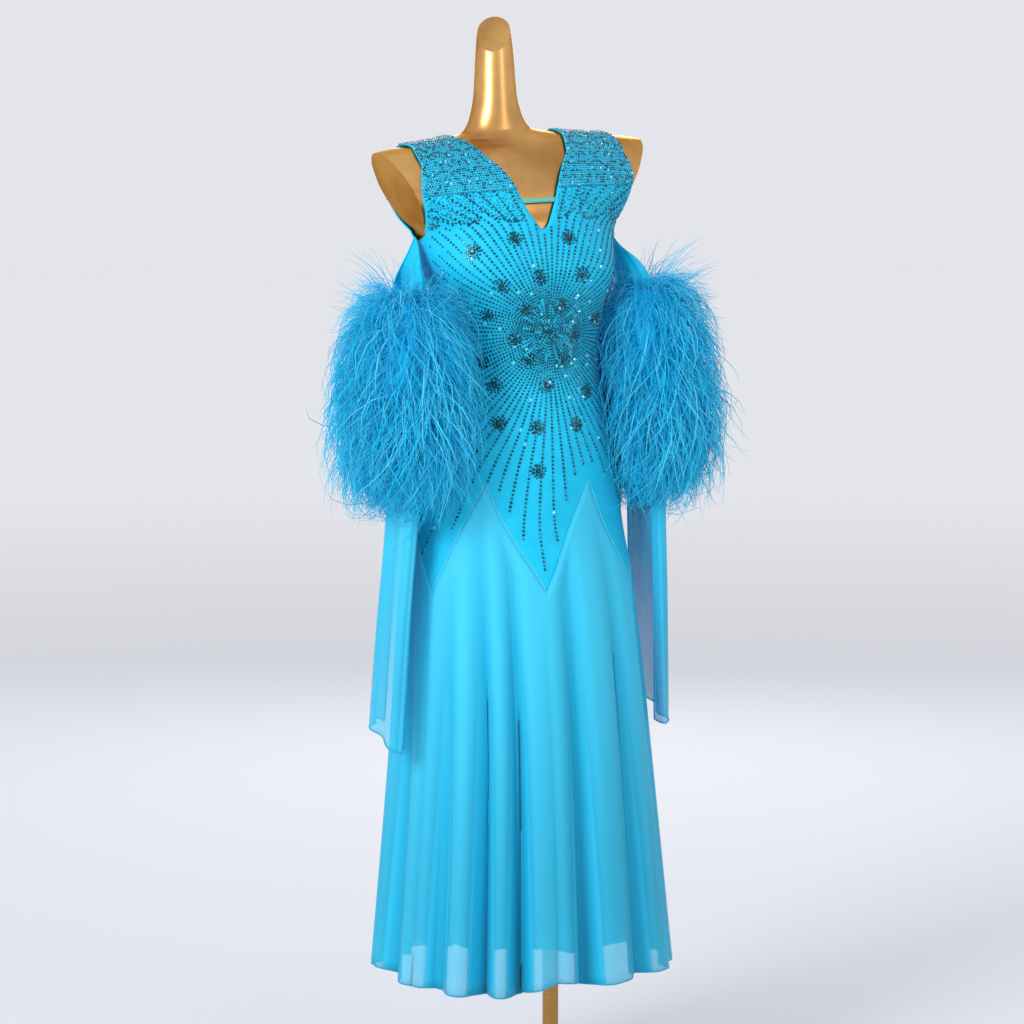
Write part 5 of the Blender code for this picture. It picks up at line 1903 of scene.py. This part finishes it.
def cuffs(settings):
    """Ostrich cuffs: thousands of drooping barbs round each sleeve band."""
    tree = barb_tree(material(plume))
    kinds, droop = 5, settings.droop
    for label, side in (("left", 1), ("right", -1)):
        cuff_core(label, side)
        for tier in TIERS:
            chance = np.random.default_rng(31 + 7 * side + 2 * TIERS.index(tier))
            count = settings.barbs // 1
            angle = chance.uniform(0, 2 * math.pi, count)
            share = chance.random(count)
            height = tier.low + (tier.high - tier.low) * share
            root = band_point(side, angle, height, 0.003)
            outside = puff_point(side, angle, np.minimum(height, FEATHER_REACH[-1].height))
            # Barbs lean together in locks, as brushed plumes do.
            lock = np.sin(9 * angle + 31 * height) + np.sin(17 * angle - 23 * height)
            slope = tier.slope_low + (tier.slope_high - tier.slope_low) * share + chance.normal(0, 22, count)
            slope = np.radians(np.clip(slope + 9 * lock, -65, 74))
            flat = outside - root
            room = np.linalg.norm(flat[:, :2], axis=1)
            heading = np.arctan2(flat[:, 1], flat[:, 0]) + chance.normal(0, 0.34, count) + 0.14 * lock
            grow = np.stack(
                (np.cos(heading) * np.cos(slope), np.sin(heading) * np.cos(slope), np.sin(slope)), -1
            )
            kind = chance.integers(0, kinds, count)
            # A Join Geometry node lists what was linked last first, so the kinds count backwards here.
            bend = droop * barb_share(kinds - 1 - kind, kinds)
            # How far out and up the barb gets for each unit of its length.
            t = np.linspace(0.2, 1, 9)[:, None]
            out, fall = np.sin(bend * t) / bend, (1 - np.cos(bend * t)) / bend
            across = (out * np.cos(slope) + fall * np.sin(slope)).max(axis=0)
            size = np.clip(
                room * chance.triangular(0.70, 0.94, 1.10, count) / np.maximum(across, 0.3), 0.05, 0.165
            )
            # Tufts reach further than the barbs between them.
            tuft = 0.90 + 0.10 * lock + 0.010 * chance.exponential(1.0, count) / np.maximum(room, 0.03)
            size = np.minimum(size * tuft, (room + 0.006) / np.maximum(across, 0.1))
            # The puff ends in an uneven line; barbs that leave near it are shorter.
            drop = np.maximum(fall[-1] * np.cos(slope) - out[-1] * np.sin(slope), 0.05)
            low = 0.950 + 0.016 * lock + chance.exponential(0.010, count) * chance.choice((-1, 1), count)
            size = np.minimum(size, np.maximum((root[:, 2] - low) / drop, 0.035))
            # Barbs in locks that reach further out are painted lighter, and those between the tufts darker:
            # painted shade between the tufts, over a random tone per barb.
            shade = np.clip(0.38 + 0.16 * lock + chance.normal(0, 0.24, count), 0, 1)
            spin = chance.normal(0, 0.45, count)
            over = unit(np.array((0.0, 0.0, 1.0)) - grow * grow[:, 2:])
            over = over * np.cos(spin)[:, None] + np.cross(grow, over) * np.sin(spin)[:, None]
            path = root + size[:, None] * (grow * out[..., None] - over * fall[..., None])
            section = GOWN.at(np.clip(path[-1, :, 2], 0.2, 1.69))
            inside = ((path[-1, :, 0] - section.centre_x) / (section.half_width + 0.012)) ** 2
            inside += ((path[-1, :, 1] - section.centre_y) / (section.front + 0.012)) ** 2
            keep = (inside > 1) & np.all((path > BARB_BOX[0]) & (path < BARB_BOX[1]), axis=(0, 2))
            made = bake(
                f"ostrich_{tier.name}_{label}", tree, root[keep], grow[keep], size[keep],
                spin[keep], shade[keep], kind[keep],
                droop=droop, thickness=settings.thickness,
            )
            made.data.shade_smooth()
            show(made, slot="feather")


# ---- Stage ---------------------------------------------------------------------------------------
def soft_light(name, at, size, power, colour):
    lamp = bpy.data.lights.new(name, "AREA")
    lamp.shape, lamp.size, lamp.size_y = "RECTANGLE", *size
    lamp.energy, lamp.color = power, linear(colour)[:3]
    obj = bpy.data.objects.new(name, lamp)
    obj.location = at
    obj.rotation_euler = (Vector((-0.05, 0.0, 1.0)) - Vector(at)).to_track_quat("-Z", "Y").to_euler()
    bpy.context.scene.collection.objects.link(obj)


def stage(settings):
    """Pale floor, pale world, soft lights and the camera."""
    scene = bpy.context.scene
    half = settings.floor_size / 2
    mesh = bpy.data.meshes.new("floor")
    mesh.from_pydata(
        [(-half, -half, 0), (half, -half, 0), (half, half, 0), (-half, half, 0)], [], [(0, 1, 2, 3)]
    )
    pale, tree, shader = blank_material("matt_pale_floor")
    # Pale board, painted darker round the stand, where the lights fall on it, and white far off: painted
    # shade that evens out the lights' pool.
    where = add_node(tree, "ShaderNodeTexCoord").outputs["Object"]
    away = add_node(tree, "ShaderNodeVectorMath", {0: where}, operation="LENGTH").outputs["Value"]
    share = add_node(
        tree, "ShaderNodeMapRange", {"Value": away, "From Max": 14.0}, interpolation_type="SMOOTHSTEP"
    )
    tint = add_node(
        tree, "ShaderNodeValToRGB", {"Fac": share.outputs["Result"]},
        ((0.0, "#D6D7DC"), (1.0, "#FFFFFF")),
    ).outputs["Color"]
    tree.links.new(tint, shader.inputs["Base Color"])
    shader.inputs["Roughness"].default_value = 0.9
    link("floor", mesh, pale)
    world = bpy.data.worlds.new("pale_studio")
    world.use_nodes = True
    background = world.node_tree.nodes["Background"]
    background.inputs["Color"].default_value = settings.world_colour
    background.inputs["Strength"].default_value = settings.world_strength
    scene.world = world
    soft_light("key", (-4.4, -2.6, 3.0), (1.6, 2.2), settings.key_power, "#FFFFFF")
    soft_light("fill", (1.6, -4.6, 2.4), (1.2, 2.2), settings.fill_power, "#F4F8FF")
    soft_light("back", (1.8, 3.6, 2.8), (1.4, 2.0), settings.fill_power * 2, "#FFFFFF")
    camera = bpy.data.objects.new("camera", bpy.data.cameras.new("camera"))
    camera.data.lens = CAMERA_LENS
    camera.location = CAMERA_AT
    camera.rotation_euler = (CAMERA_AIM - CAMERA_AT).to_track_quat("-Z", "Y").to_euler()
    scene.collection.objects.link(camera)
    scene.camera = camera
    scene.view_settings.view_transform = "Standard"


# ---- Operators and panel -------------------------------------------------------------------------
class GOWN_OT_form(bpy.types.Operator):
    """Build the gold dress form and its stand"""

    bl_idname = "gown.dress_form"
    bl_label = "Dress form and stand"

    def execute(self, context):
        dress_form()
        stand()
        return {"FINISHED"}


class GOWN_OT_bodice(bpy.types.Operator):
    """Build the bodice panels, the yoke's seam, the shoulder lace and the neck elastic"""

    bl_idname = "gown.bodice"
    bl_label = "Bodice"

    def execute(self, context):
        panel(behind=False)
        panel(behind=True)
        yoke_seams()
        straps()
        neck_elastic()
        return {"FINISHED"}


class GOWN_OT_skirt(bpy.types.Operator):
    """Build the chiffon godets and the lining under them"""

    bl_idname = "gown.skirt"
    bl_label = "Skirt and lining"

    def execute(self, context):
        godets()
        lining()
        return {"FINISHED"}


class GOWN_OT_sleeves(bpy.types.Operator):
    """Build the sleeve bands and the chiffon floats"""

    bl_idname = "gown.sleeves"
    bl_label = "Sleeves and floats"

    def execute(self, context):
        sleeves()
        floats()
        return {"FINISHED"}


class GOWN_OT_stones(bpy.types.Operator):
    """Set the stones on the bodice and the shoulder lace"""

    bl_idname = "gown.stones"
    bl_label = "Stones"

    def execute(self, context):
        bodice_stones(context.scene.gown_stones)
        return {"FINISHED"}


class GOWN_OT_feathers(bpy.types.Operator):
    """Grow the ostrich feather cuffs"""

    bl_idname = "gown.feathers"
    bl_label = "Feather cuffs"

    def execute(self, context):
        cuffs(context.scene.gown_feathers)
        return {"FINISHED"}


class GOWN_OT_stage(bpy.types.Operator):
    """Set up the floor, world, lights and camera"""

    bl_idname = "gown.stage"
    bl_label = "Stage"

    def execute(self, context):
        stage(context.scene.gown_stage)
        return {"FINISHED"}


OPERATORS = (
    GOWN_OT_stage,
    GOWN_OT_form,
    GOWN_OT_bodice,
    GOWN_OT_skirt,
    GOWN_OT_sleeves,
    GOWN_OT_stones,
    GOWN_OT_feathers,
)
SETTINGS = {
    "gown_colours": GownColourSettings,
    "gown_stones": GownStoneSettings,
    "gown_feathers": GownFeatherSettings,
    "gown_stage": GownStageSettings,
}


class GOWN_PT_panel(bpy.types.Panel):
    """Lists the gown's pieces and their settings"""

    bl_idname = "GOWN_PT_panel"
    bl_label = "Ballroom gown"
    bl_space_type = "VIEW_3D"
    bl_region_type = "UI"
    bl_category = "Gown"

    def draw(self, context):
        for operator in OPERATORS:
            self.layout.operator(operator.bl_idname)
        for label, group in SETTINGS.items():
            box = self.layout.box()
            for setting in group.__annotations__:
                box.prop(getattr(context.scene, label), setting)


CLASSES = (*SETTINGS.values(), *OPERATORS, GOWN_PT_panel)


def register():
    for cls in CLASSES:
        bpy.utils.register_class(cls)
    for label, group in SETTINGS.items():
        setattr(bpy.types.Scene, label, PointerProperty(type=group))


def unregister():
    for label in SETTINGS:
        delattr(bpy.types.Scene, label)
    for cls in reversed(CLASSES):
        bpy.utils.unregister_class(cls)


def main():
    register()
    bpy.ops.gown.stage()
    bpy.ops.gown.dress_form()
    bpy.ops.gown.bodice()
    bpy.ops.gown.skirt()
    bpy.ops.gown.sleeves()
    bpy.ops.gown.stones()
    bpy.ops.gown.feathers()


if __name__ == "__main__":
    main()
